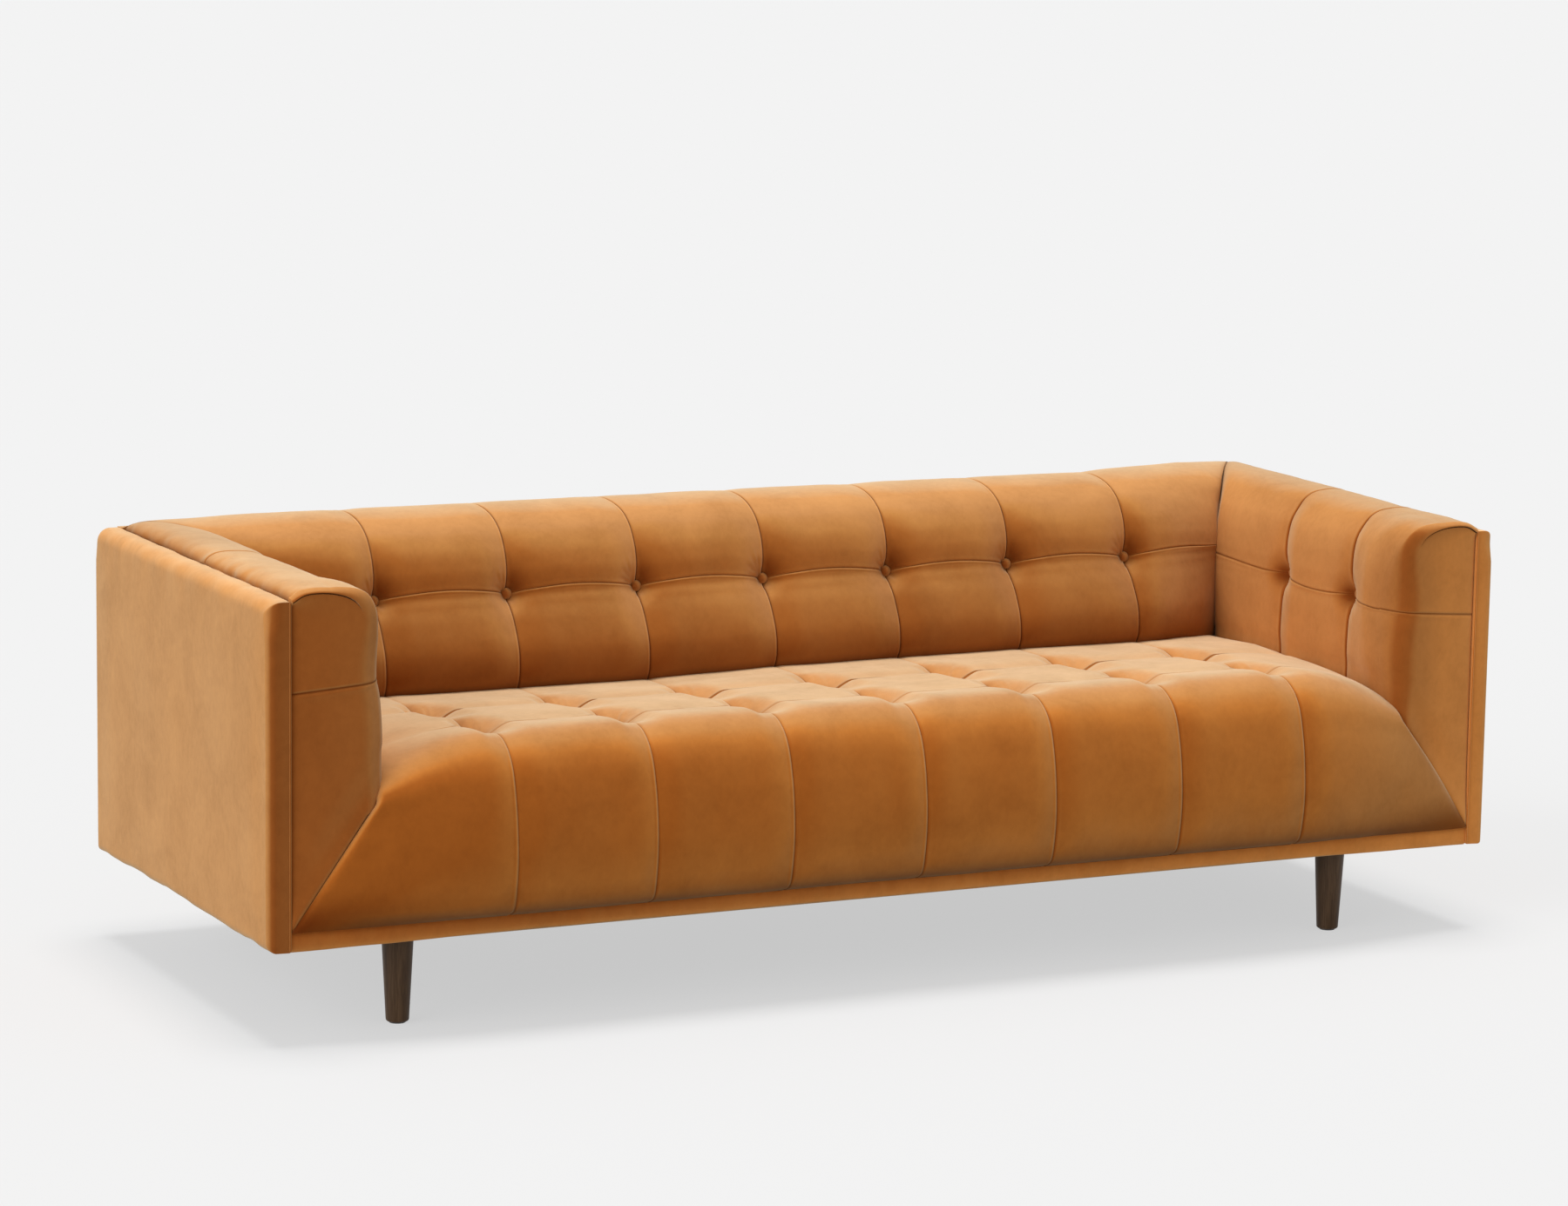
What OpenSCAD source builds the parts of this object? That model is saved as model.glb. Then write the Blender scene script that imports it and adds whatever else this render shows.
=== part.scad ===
// Three-seat tuxedo sofa with a tufted bench seat, tufted back and arms, on tapered round legs.
// The front faces -Y. The origin is on the floor, under the middle of the sofa.

/* [Body] */
// Width over the outer side panels
body_w = 2200; // [1900:10:2500]
// Depth from the front edge of the side panels to the outside back
body_d = 850; // [800:5:920]
// Height of the underside above the floor
floor_gap = 150; // [100:5:200]
// Height of the outer side panels
side_h = 545; // [520:5:600]
// Thickness of the side and back panels
panel_t = 31; // [26:1:40]
// Thickness of the cover round a panel's board
skin_t = 6.5; // [4:0.5:9]
// Radius of a side panel's upper rear corner
side_r = 25; // [8:1:40]
// Height of the band under the seat front
band_h = 32; // [24:1:44]
// Thickness of the band
band_t = 12; // [8:1:16]
// How far the band stands behind the side panels' front edges
band_set = 2; // [0:0.5:6]

/* [Seat] */
// Height of the seat's front seams above the floor
seat_h = 460; // [440:5:480]
// How far the seat pad runs back under the back pad
seat_tuck = 130; // [110:5:140]
// How far the seat front's seams stand out past the panels
roll_out = 47; // [30:1:60]
// Height of a seat panel's crown over its seams
seat_crown = 9; // [6:1:20]
// Depth of a seat tuft under the seams
seat_dimple = 20; // [10:1:28]
// How much narrower the end panels are than the others
end_short = 20; // [0:2:40]

/* [Back and arms] */
// Depth of the back pad from its lowest roll to the rear panel
back_d = 299; // [285:1:320]
// Height of the back's top seams over the arms' top seams
back_rise = 16; // [0:1:40]
// Height of a back panel's crown over its seams
back_crown = 9; // [6:1:20]
// Depth of a tuft in the back and the arms
side_dimple = 9; // [4:1:14]
// Distance from the outside of the sofa to an arm's inner face
arm_w = 170; // [150:2:200]
// Height of an arm's top seams over the side panels
arm_rise = 13; // [6:1:30]
// Height of an arm panel's crown over its seams
arm_crown = 9; // [6:1:20]
// Radius of an arm's inner front edge
arm_r = 52; // [30:1:60]
// Depth of the arm's front seam
arm_seam_a = 190; // [170:5:210]
// Distance from the arm's rear seam to the corner with the back
arm_rear_panel = 214; // [190:2:240]
// Distance from the corner of arm and back to the rear panel
corner_d = 199; // [180:1:220]
// Diameter of a covered button
button_d = 21; // [16:1:24]
// Height of a covered button
button_h = 8; // [5:0.5:10]

/* [Legs] */
// Diameter of a leg at its top
leg_top_d = 52; // [44:1:60]
// Diameter of a leg at its foot
leg_foot_d = 37; // [28:1:42]
// Radius of a leg's bottom edge
leg_edge_r = 4; // [1:0.5:6]
// Distance from the sofa's end to a leg's axis
leg_inset_x = 243; // [200:5:300]
// Distance from the panels' front plane or the outside back to a leg's axis
leg_inset_y = 98; // [90:2:120]
// Thickness of a glide
glide_t = 2; // [1:0.5:4]
// Diameter of a glide
glide_d = 26; // [18:1:27]

/* [Frame] */
// Thickness of the rails and posts
rail_t = 28; // [22:1:32]
// Height of the seat rails
rail_h = 80; // [70:2:90]
// Width of the arm posts
post_w = 60; // [45:1:80]
// Width of the arm's top rail
arm_rail_w = 60; // [45:1:70]
// Height of the tack rails
tack_h = 45; // [35:1:55]
// Thickness of the padding over the top rails
top_pad_t = 40; // [32:1:46]
// Thickness of the back's ribs
rib_t = 18; // [15:1:25]
// Thickness of the webbing
strap_t = 2; // [1.5:0.25:3]
// Width of the webbing
strap_w = 60; // [50:1:70]
// Thickness of the dust cover
dust_t = 2; // [1:0.5:3]
// Thickness of a leg block
block_t = 40; // [30:1:50]
// Side of a leg block
block_w = 112; // [90:2:130]
// Radius of a leg bolt and of a frame bolt
bolt_r = 4; // [3:0.25:5]

/* [Hidden] */
// Running clearance round bolts
bolt_gap = 0.1;
// Space between soft pieces that touch
soft_gap = 0.5;
// Overrun of a cut past a face
cut = 1;
// Facets of the round pieces
round_fn = 64;

colour_cover = "#b8793a";
colour_front = "#a96b30";
colour_foam = "#ece0b8";
colour_wood = "#c9a877";
colour_board = "#b79768";
colour_leg = "#43342a";
colour_strap = "#3d3a36";
colour_dust = "#222222";
colour_steel = "#9a9a9a";

seam_count = 3;
panel_half = seam_count + 1;

front_y = (roll_out + seat_crown - body_d) / 2;
rear_y = front_y + body_d;
side_x = body_w / 2 - panel_t;
arm_in = body_w / 2 - arm_w;
pitch = (arm_in + end_short) / panel_half;
pad_w = side_x - arm_in;
back_y = rear_y - panel_t;
back_in = back_y - front_y - back_d;
seat_d = back_in + seat_tuck;
seat_rear = front_y + seat_d;
corner_y = back_y - front_y - corner_d;
arm_seam_b = corner_y - arm_rear_panel;
side_top = floor_gap + side_h;
arm_top = side_top + arm_rise;
back_top = arm_top + back_rise;
seat_base = floor_gap + band_h + soft_gap;
rail_y = front_y + band_set + band_t;
frame_z = floor_gap + dust_t;
rail_top = frame_z + rail_h;
deck_z = rail_top + 2 * strap_t + soft_gap;
top_rail_z = arm_top - top_pad_t;
post_x = side_x - rail_t;
end_seam_x = seam_count * pitch;

// Outlines run from the hidden rear edge over the seat to the foot of its front. The first
// share is of the seat's depth, or of the roll where it is negative. The second is of its height.
seat_seam_shares = [
  [1, 0.905], [0.77, 0.905], [0.65, 0.915], [0.52, 0.928], [0.36, 0.95],
  [0.19, 0.97], [0.07, 1], [0.01, 0.955], [-0.43, 0.85], [-0.77, 0.68],
  [-0.95, 0.5], [-1, 0.33], [-0.9, 0.17], [-0.7, 0.05], [-0.2, 0]];
// The seat's edge along an arm, on the same scale
seat_edge_shares = [
  [1, 0.875], [0.77, 0.895], [0.65, 0.885], [0.52, 0.875], [0.36, 0.86],
  [0.19, 0.825], [0.07, 0.77], [0.015, 0.73]];
// Places down the sloping seam between the seat's front corner and the arm
seat_slope_shares = [0.02, 0.17, 0.33, 0.5, 0.67, 0.84, 1];
// Where that seam starts on the seat's height, and how far it stands out on the roll
slope_top_share = 0.706;
slope_out_share = 0.1;
// The inside of the seat cover
seat_core_shares = [
  [1, 0.73], [0.77, 0.73], [0.65, 0.73], [0.52, 0.73], [0.36, 0.73],
  [0.19, 0.73], [0.09, 0.73], [0.045, 0.715], [0.01, 0.66], [-0.13, 0.575],
  [-0.26, 0.465], [-0.28, 0.33], [-0.24, 0.17], [-0.17, 0.05], [0.003, 0]];
seat_core_edge_share = 0.62;
// The underside of the seat foam: depths over the deck, then heights in front of the rail
seat_deck_shares = [1, 0.77, 0.65, 0.52, 0.36, 0.19, 0.14, 0.1, 0.06];
seat_drop_shares = [1, 0.85, 0.68, 0.48, 0.26, 0.04];

// Outlines of the back run from the seat up and over to the outside back.
back_seam_shares = [
  [0.04, 0], [0, 0.075], [-0.005, 0.16], [0.015, 0.255], [0.075, 0.37],
  [0.14, 0.46], [0.18, 0.535], [0.197, 0.67], [0.23, 0.78], [0.31, 0.89],
  [0.44, 0.97], [0.62, 1], [0.8, 0.985], [0.95, 0.94], [1, 0.895]];
// The back's end in the corner with the arm, from the first row that runs over the top
back_corner_share = 0.36;
back_edge_shares = [[0.375, 0.885], [0.47, 0.955], [0.62, 0.98], [0.8, 0.965], [0.95, 0.93], [1, 0.895]];
// The inside of the back cover, its height on the top rail
back_core_shares = [
  [0.22, 0], [0.185, 0.095], [0.175, 0.195], [0.195, 0.315], [0.235, 0.455],
  [0.28, 0.565], [0.32, 0.66], [0.345, 0.79], [0.39, 0.9], [0.475, 0.975],
  [0.6, 1], [0.7, 1], [0.82, 1], [0.94, 1], [1, 1]];
back_core_corner_share = 0.42;

// Outlines of an arm run from the seat up and over to the side panel.
arm_seam_shares = [
  [0, 0], [0, 0.19], [-0.015, 0.27], [-0.005, 0.38], [0.02, 0.49], [0.045, 0.555],
  [0.045, 0.67], [0.055, 0.79], [0.12, 0.89], [0.28, 0.965], [0.54, 1], [0.83, 1], [1, 0.965]];
// Heights on the side panel where the lines across the arm's front end
arm_front_shares = [0, 0.17, 0.31, 0.46, 0.62, 0.72, 0.79, 0.86, 0.91, 0.94, 0.96, 0.975, 0.99];
// The inside of an arm cover, its height on the top rail
arm_core_shares = [
  [0.18, 0], [0.18, 0.18], [0.18, 0.3], [0.19, 0.43], [0.215, 0.56], [0.24, 0.63],
  [0.24, 0.76], [0.25, 0.88], [0.3, 0.94], [0.4, 0.975], [0.56, 1], [0.83, 1], [1, 1]];
arm_core_front_shares = [0, 0.18, 0.33, 0.48, 0.64, 0.75, 0.82, 0.89, 0.93, 0.955, 0.975, 0.99, 1];

// A smooth curve through hand-chosen points. It passes them at whole numbers of v, and row, stop
// and tuft shares below are such values.
function bend(a, b, c, d, t) =
  (2 * b + (c - a) * t + (2 * a - 5 * b + 4 * c - d) * t * t + (3 * b - a - 3 * c + d) * t * t * t) / 2;
function along(pts, v) =
  let (n = len(pts) - 1, i = min(floor(v), n - 1))
  bend(pts[max(i - 1, 0)], pts[i], pts[i + 1], pts[min(i + 2, n)], v - i);
function mix(a, b, t) = a + (b - a) * t;
// The same outline with straight stretches.
function straight(pts, v) = let (i = min(floor(v), len(pts) - 2)) mix(pts[i], pts[i + 1], v - i);
function unit(p) = p / norm(p);

// The direction in which such an outline runs.
function heading(pts, v) =
  let (step = 0.05) unit(along(pts, min(v + step, len(pts) - 1)) - along(pts, max(v - step, 0)));

// How full a panel is, from its seam at 0 to the next at 1.
function fullness(a, power) = 1 - pow(abs(2 * a - 1), power);
// How deep a tuft pulls at a distance from its button.
function pull(d, reach) =
  let (flat = button_flat * sqrt(2), s = (d - flat) / (reach - flat))
  s <= 0 ? 1 : s >= 1 ? 0 : pow(1 - s, 2) * (1 + s / 2);
// Fullness between the rows of seams at the v values of stops.
function row_fullness(v, stops, powers) =
  let (hits = [for (i = [0 : len(stops) - 2]) if (v >= stops[i] && v <= stops[i + 1]) i])
  len(hits) == 0 ? 0 :
  let (i = hits[0]) fullness((v - stops[i]) / (stops[i + 1] - stops[i]), powers[i]);

// Faces of a padded sheet: an outer grid of columns, an inner one with some of its columns,
// and the four edges between them. Every face is a triangle.
function flip(tri, turned) = turned ? [tri[0], tri[2], tri[1]] : tri;
function sheet_faces(columns, rows, picks, turned) =
  let (
    r = rows + 1,
    start = columns * r,
    last = len(picks) - 1,
    outer = [for (i = [0 : columns - 2]) for (j = [0 : rows - 1])
      let (a = i * r + j, b = (i + 1) * r + j, lean = (i + j) % 2 == 0)
      for (tri = lean ? [[a, b, b + 1], [a, b + 1, a + 1]] : [[a, b, a + 1], [b, b + 1, a + 1]]) tri],
    inner = [for (i = [0 : last - 1]) for (j = [0 : rows - 1])
      let (a = start + i * r + j, b = a + r)
      for (tri = [[a, b + 1, b], [a, a + 1, b + 1]]) tri],
    ends = [for (j = [0 : rows - 1])
      let (a = j, c = start + j, b = (columns - 1) * r + j, d = start + last * r + j)
      for (tri = [[a, a + 1, c + 1], [a, c + 1, c], [b, d, d + 1], [b, d + 1, b + 1]]) tri],
    edges = [for (k = [0 : last - 1])
      let (low = start + k * r, high = low + rows)
      for (tri = concat(
        [for (i = [picks[k] : picks[k + 1] - 1]) [low, (i + 1) * r, i * r]],
        [[low, low + r, picks[k + 1] * r]],
        [for (i = [picks[k] : picks[k + 1] - 1]) [high, i * r + rows, (i + 1) * r + rows]],
        [[high, picks[k + 1] * r + rows, high + r]])) tri])
  [for (tri = concat(outer, inner, ends, edges)) flip(tri, turned)];

module sheet(outer, inner, picks, turned = false) {
  polyhedron(
    points = [for (column = concat(outer, inner)) for (p = column) p],
    faces = sheet_faces(len(outer), len(outer[0]) - 1, picks, turned));
}

// Columns across the seat and the back count panels from the middle. Each panel has a line on
// its seam, one beside each button and three over its crown.
button_skirt = 2;
button_flat = button_d / 2 + button_skirt;
panel_step_shares = [0, button_flat / pitch, 0.24, 0.5, 0.76, 1 - button_flat / pitch];
panel_columns = concat(
  [for (k = [-panel_half : panel_half - 1]) for (s = panel_step_shares) k + s], [panel_half]);
column_picks = [for (k = [0, 1, 2 * panel_half - 1, 2 * panel_half]) k * len(panel_step_shares)];
function outer_part(c) = max(0, abs(c) - seam_count);
function seam_distance(c) = abs(c) > seam_count + 0.5 ? pitch : abs(c - round(c)) * pitch;

// The line in plan where the arms meet the back.
function mitre_y(x) = front_y + mix(corner_y, back_y - front_y, (x - arm_in) / pad_w);
function mitre_x(y) = arm_in + pad_w * (y - front_y - corner_y) / (back_y - front_y - corner_y);

// Seat
seat_row_shares = [
  0, 1, 1.6, 2.3, 2.84, 3, 3.12, 3.6, 4, 4.45, 4.88, 5,
  5.16, 5.55, 6, 6.5, 7, 7.5, 8, 9.2, 10.6, 12.2, 14];
seat_stop_shares = [1, 3, 5, 14];
seat_power_shares = [2.5, 2.5, 3];
seat_tuft_shares = [3, 5];
seat_reach = 62;
function seat_place(s) =
  [front_y + (s[0] < 0 ? s[0] * roll_out : s[0] * seat_d), mix(seat_base, seat_h, s[1])];
seat_seam = [for (s = seat_seam_shares) seat_place(s)];
slope_high = [arm_in, mix(seat_base, seat_h, slope_top_share)];
slope_low = [side_x, seat_base];
function slope_point(s) = mix(slope_high, slope_low, s);
seat_edge = concat(
  [for (s = seat_edge_shares) let (p = seat_place(s)) [arm_in - soft_gap, p[0], p[1]]],
  [for (s = seat_slope_shares) let (p = slope_point(s))
    [p[0] - soft_gap, front_y - slope_out_share * roll_out, max(p[1] - 3 * soft_gap, seat_base)]]);
seat_core = [for (s = seat_core_shares) seat_place(s)];
seat_core_edge_z = mix(seat_base, seat_h, seat_core_edge_share);
seat_core_edge = [for (i = [0 : len(seat_edge) - 1])
  let (x = seat_edge[i][0])
  i < len(seat_edge_shares) ? [x, seat_core[i][0], seat_core_edge_z]
  : [x, rail_y - 2 * soft_gap, min(seat_core_edge_z - i * soft_gap, seat_edge[i][2])]];

function seat_normal(v) = let (d = heading(seat_seam, v)) [0, d[1], -d[0]];
function seat_lift(c, v) =
  let (
    a = c - floor(c),
    crown = seat_crown * fullness(a, 3) * row_fullness(v, seat_stop_shares, seat_power_shares),
    tufts = [for (t = seat_tuft_shares)
      pull(norm([seam_distance(c), norm(along(seat_seam, v) - along(seat_seam, t))]), seat_reach)])
  crown - seat_dimple * max(tufts);
function seat_point(c, v) =
  let (
    p = along(seat_seam, v),
    e = along(seat_edge, v),
    t = outer_part(c),
    side = sign(c),
    x = t == 0 ? c * pitch : side * mix(end_seam_x, e[0], t),
    yz = mix(p, [e[1], e[2]], pow(t, 2)))
  [x, yz[0], yz[1]] + seat_normal(v) * seat_lift(c, v);
function seat_core_point(c, v) =
  let (p = along(seat_core, v), e = along(seat_core_edge, v), t = outer_part(c), side = sign(c))
  [side * (t == 0 ? abs(c) * pitch : e[0]), mix(p[0], e[1], t), mix(p[1], e[2], t)];

module seat_cover() {
  color(colour_cover)
    sheet(
      [for (c = panel_columns) [for (v = seat_row_shares) seat_point(c, v)]],
      [for (c = [-4, -3, 3, 4]) [for (v = seat_row_shares) seat_core_point(c, v)]],
      column_picks);
}

// The seat foam fills the cover down to the webbing and laps over the front rail.
foam_end = 12;
foam_step = 30;
foam_columns = [foam_end - arm_in, foam_step - end_seam_x, end_seam_x - foam_step, arm_in - foam_end];
seat_under = [for (s = seat_deck_shares) [front_y + s * seat_d, deck_z],
  for (s = seat_drop_shares) [rail_y - soft_gap, mix(seat_base, deck_z, s)]];
function end_share(x, edge_x) = max(0, (abs(x) - end_seam_x) / (edge_x - end_seam_x));
function seat_foam_top(x, v) =
  let (
    p = along(seat_core, v), e = along(seat_core_edge, v), t = end_share(x, e[0]),
    gap = (t > 0 ? 10 : v < 11 ? 1 : 20) * soft_gap,
    y = mix(p[0], e[1], t) + (v > 6 ? gap : 0))
  [x, v < 8.5 ? y : t == 0 ? min(y, rail_y - 2 * soft_gap) : rail_y - 2 * soft_gap,
    mix(p[1], e[2], t) - (v < 12.5 ? gap : 0)];

module seat_foam() {
  color(colour_foam)
    sheet(
      [for (x = foam_columns) [for (v = seat_row_shares) seat_foam_top(x, v)]],
      [for (x = foam_columns) [for (v = seat_row_shares) let (p = straight(seat_under, v)) [x, p[0], p[1]]]],
      [0, 1, 2, 3]);
}

// Back
back_stop_shares = [0, 6, 14];
back_power_shares = [3, 1.3];
back_tuft_share = 6;
back_reach = 55;
back_base = mix(seat_base, seat_h, seat_seam_shares[0][1]) + soft_gap;
function back_depth(s) = front_y + back_in + s * back_d - (s == 1 ? soft_gap : 0);
back_seam = [for (s = back_seam_shares) [back_depth(s[0]), mix(back_base, back_top, s[1])]];
back_edge_start = len(back_seam_shares) - len(back_edge_shares);
back_edge = [for (i = [0 : len(back_seam) - 1])
  let (
    k = i - back_edge_start,
    s = k < 0 ? [back_corner_share, back_seam_shares[i][1]] : back_edge_shares[k],
    y = back_depth(s[0]))
  [mitre_x(y) - 2 * soft_gap, y, mix(back_base, back_top, s[1])]];
back_core = [for (s = back_core_shares)
  [back_depth(s[0]), mix(back_base, top_rail_z + soft_gap, s[1])]];
back_core_edge = [for (i = [0 : len(back_core) - 1])
  let (
    corner = back_depth(back_core_corner_share),
    y = i < back_edge_start ? corner : max(back_core[i][0], corner))
  [mitre_x(y) - 2 * soft_gap, y, back_core[i][1]]];

back_row_shares = [0, 0.5, 1, 2, 3, 4, 5, 5.5, 6, 6.35, 7, 8, 9, 10, 11, 12, 13, 14];

function back_normal(v) = let (d = heading(back_seam, v)) [0, -d[1], d[0]];
function back_lift(c, v) =
  let (
    a = c - floor(c),
    crown = back_crown * fullness(a, 3) * row_fullness(v, back_stop_shares, back_power_shares),
    up = norm(along(back_seam, v) - along(back_seam, back_tuft_share)),
    tuft = pull(norm([seam_distance(c), up]), back_reach))
  crown - side_dimple * tuft;
function back_point(c, v) =
  let (
    p = along(back_seam, v),
    e = along(back_edge, v),
    t = outer_part(c),
    side = sign(c),
    x = t == 0 ? c * pitch : side * mix(end_seam_x, e[0], t),
    yz = mix(p, [e[1], e[2]], pow(t, 2)))
  [x, yz[0], yz[1]] + back_normal(v) * back_lift(c, v);
function back_core_point(c, v) =
  let (p = along(back_core, v), e = along(back_core_edge, v), t = outer_part(c), side = sign(c))
  [side * (t == 0 ? abs(c) * pitch : e[0]), mix(p[0], e[1], t), mix(p[1], e[2], t)];

module back_cover() {
  color(colour_cover)
    sheet(
      [for (c = panel_columns) [for (v = back_row_shares) back_point(c, v)]],
      [for (c = [-4, -3, 3, 4]) [for (v = back_row_shares) back_core_point(c, v)]],
      column_picks, true);
}

// The webbing runs up from the tack rail's front to the top rail's front.
tack_share = 0.468;
tack_lift = 5;
top_rail_w = 74;
tack_y = back_depth(tack_share);
tack_z = back_base + tack_lift;
top_rail_y = back_y - top_rail_w;
top_rail_low = top_rail_z - rail_t;
strap_line = [
  [tack_y, tack_z], [tack_y, tack_z + tack_h],
  [top_rail_y, top_rail_low], [top_rail_y, top_rail_z - strap_t]];
function strap_y(z) =
  z <= strap_line[1][1] ? tack_y : z >= top_rail_low ? top_rail_y
  : mix(tack_y, top_rail_y, (z - strap_line[1][1]) / (top_rail_low - strap_line[1][1]));

back_foam_row_shares = [for (v = back_row_shares) if (v <= 10) v];
foam_drop = 18;
function back_foam_front(x, v) =
  let (
    p = along(back_core, v), e = along(back_core_edge, v), t = end_share(x, e[0]),
    gap = (t == 0 ? 1 : 12) * soft_gap)
  [x, mix(p[0], e[1], t) + gap, mix(p[1], e[2], t) - (v > 5.5 ? gap : 0)];

module back_foam() {
  color(colour_foam)
    sheet(
      [for (x = foam_columns) [for (v = back_foam_row_shares) back_foam_front(x, v)]],
      [for (x = foam_columns) [for (v = back_foam_row_shares)
        let (z = back_foam_front(x, v)[2]) [x, strap_y(z - foam_drop) - strap_t - soft_gap, z]]],
      [0, 1, 2, 3], true);
}

// Arm: a cover that wraps from the side panel's front crease round the front edge and back to
// the corner. Columns count the front, the rounded edge and the length.
arm_row_shares = [0, 1, 2, 3, 4, 4.55, 5, 5.3, 6, 7, 8, 9, 10, 11, 12];
arm_stop_shares = [1, 5, 12];
arm_power_shares = [3, 1.3];
arm_tuft_share = 5;
arm_reach = 55;
arm_set = 3;
arm_bulge = 4;
function arm_place(s, high) =
  [arm_in + s[0] * pad_w - (s[0] == 1 ? soft_gap : 0), mix(slope_high[1], high, s[1])];
arm_seam = [for (s = arm_seam_shares) arm_place(s, arm_top)];
arm_core = [for (s = arm_core_shares) arm_place(s, top_rail_z + soft_gap)];
arm_crease = [for (s = arm_front_shares) [side_x - soft_gap, mix(seat_base, side_top, s)]];
arm_core_crease = [for (s = arm_core_front_shares)
  [side_x - soft_gap, mix(seat_base, top_rail_z + soft_gap, s)]];

arm_front_step_shares = [0, 0.33, 0.67];
arm_turn_angles = [0, 30, 60, 90];
arm_length_steps = [
  mix(arm_r, arm_seam_a, 0.5), arm_seam_a - button_flat, arm_seam_a, arm_seam_a + button_flat,
  mix(arm_seam_a, arm_seam_b, 0.28), mix(arm_seam_a, arm_seam_b, 0.5), mix(arm_seam_a, arm_seam_b, 0.72),
  arm_seam_b - button_flat, arm_seam_b, arm_seam_b + button_flat];
arm_rear_shares = [0.28, 0.6, 1];

function arm_normal(v) = let (d = heading(arm_seam, v)) [-d[1], 0, d[0]];
function arm_lift(y, v) =
  let (
    a = y < arm_seam_a ? 0.5 + 0.5 * max(0, y - arm_r) / (arm_seam_a - arm_r)
      : y < arm_seam_b ? (y - arm_seam_a) / (arm_seam_b - arm_seam_a)
      : min(1, (y - arm_seam_b) / (corner_y - arm_seam_b)),
    crown = arm_crown * fullness(a, 3) * row_fullness(v, arm_stop_shares, arm_power_shares),
    up = norm(along(arm_seam, v) - along(arm_seam, arm_tuft_share)),
    tufts = [for (s = [arm_seam_a, arm_seam_b]) pull(norm([y - s, up]), arm_reach)])
  crown - side_dimple * max(tufts);
function arm_front_radius(v) =
  let (
    span = norm(along(arm_crease, v) - along(arm_seam, v)),
    soft = v < 7 ? 1 : max(0.15, 1 - (v - 7) / 3))
  min(arm_r * soft, 0.4 * span);
function arm_front_point(q, v) =
  let (
    o = along(arm_crease, v), s = along(arm_seam, v), r = arm_front_radius(v),
    span = norm(s - o), p = mix(o, s, q * (span - r) / span),
    out = arm_bulge * fullness(q / 2, 2) * row_fullness(v, [0, 12], [4]) * min(1, q * 2))
  [p[0], front_y + arm_set - out, p[1]];
function arm_turn_point(angle, v) =
  let (
    o = along(arm_crease, v), s = along(arm_seam, v), r = arm_front_radius(v), e = unit(o - s),
    p = s + e * r * (1 - sin(angle)),
    bulge = arm_bulge * row_fullness(v, [0, 12], [4]) * cos(angle))
  [p[0], front_y + arm_set + r * (1 - cos(angle)) - bulge, p[1]]
    + arm_normal(v) * arm_lift(0, v) * sin(angle);
function arm_side_point(y, v) =
  let (s = along(arm_seam, v)) [s[0], front_y + y, s[1]] + arm_normal(v) * arm_lift(y, v);
function arm_rear_point(t, v) =
  let (
    s = along(arm_seam, v), end_y = mitre_y(s[0]) - front_y - 2 * soft_gap,
    y = mix(arm_seam_b + button_flat, end_y, t),
    even = mix(arm_seam_b + button_flat, corner_y, t))
  [s[0], front_y + y, s[1]] + arm_normal(v) * arm_lift(even, v);

module arm_cover() {
  turn = len(arm_front_step_shares);
  count = turn + len(arm_turn_angles) + len(arm_length_steps) + len(arm_rear_shares);
  core_y = rail_y - soft_gap;
  color(colour_cover)
    sheet(
      concat(
        [for (q = arm_front_step_shares) [for (v = arm_row_shares) arm_front_point(q, v)]],
        [for (a = arm_turn_angles) [for (v = arm_row_shares) arm_turn_point(a, v)]],
        [for (y = arm_length_steps) [for (v = arm_row_shares) arm_side_point(y, v)]],
        [for (t = arm_rear_shares) [for (v = arm_row_shares) arm_rear_point(t, v)]]),
      [
        [for (v = arm_row_shares) let (p = along(arm_core_crease, v)) [p[0], core_y, p[1]]],
        [for (v = arm_row_shares) let (p = along(arm_core, v)) [p[0], core_y, p[1]]],
        [for (v = arm_row_shares) let (p = along(arm_core, v)) [p[0], mitre_y(p[0]) - 2 * soft_gap, p[1]]]],
      [0, turn + 1, count - 1]);
}
module arm_cover_right() { arm_cover(); }
module arm_cover_left() { mirror([1, 0, 0]) arm_cover(); }

// The arm's webbing runs up from its tack rail to its top rail.
arm_tack_lift = 16;
arm_tack_z = slope_high[1] + arm_tack_lift;
arm_rail_x = side_x - arm_rail_w;
arm_strap_line = [
  [post_x, arm_tack_z + strap_t], [post_x, arm_tack_z + tack_h],
  [arm_rail_x, top_rail_low], [arm_rail_x, top_rail_z - strap_t]];

module arm_foam() {
  side = strap_t + soft_gap;
  outline = concat(
    [for (i = [0 : 9]) arm_core[i] + [soft_gap, i > 6 ? -soft_gap : 0]],
    [[arm_rail_x - side, top_rail_z - soft_gap], [arm_rail_x - side, top_rail_low],
      [post_x - side, arm_tack_z + tack_h], [post_x - side, slope_high[1]]]);
  rear = min(mitre_y(arm_core[0][0]), tack_y) - 2 * soft_gap;
  color(colour_foam)
    translate([0, rear, 0]) rotate([90, 0, 0]) linear_extrude(rear - rail_y - soft_gap) polygon(outline);
}
module arm_foam_right() { arm_foam(); }
module arm_foam_left() { mirror([1, 0, 0]) arm_foam(); }

// Covered buttons: a shallow dome on a short rim.
rim_share = 0.35;
button_seat = 1;
back_button_seat = 2.4;
arm_button_seat = 1.4;
module button() {
  dome_h = button_h * (1 - rim_share);
  dome_r = (pow(button_d / 2, 2) + pow(dome_h, 2)) / (2 * dome_h);
  intersection() {
    cylinder(h = button_h, r = button_d / 2, $fn = round_fn);
    translate([0, 0, button_h - dome_r]) sphere(r = dome_r, $fn = round_fn);
  }
}
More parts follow.
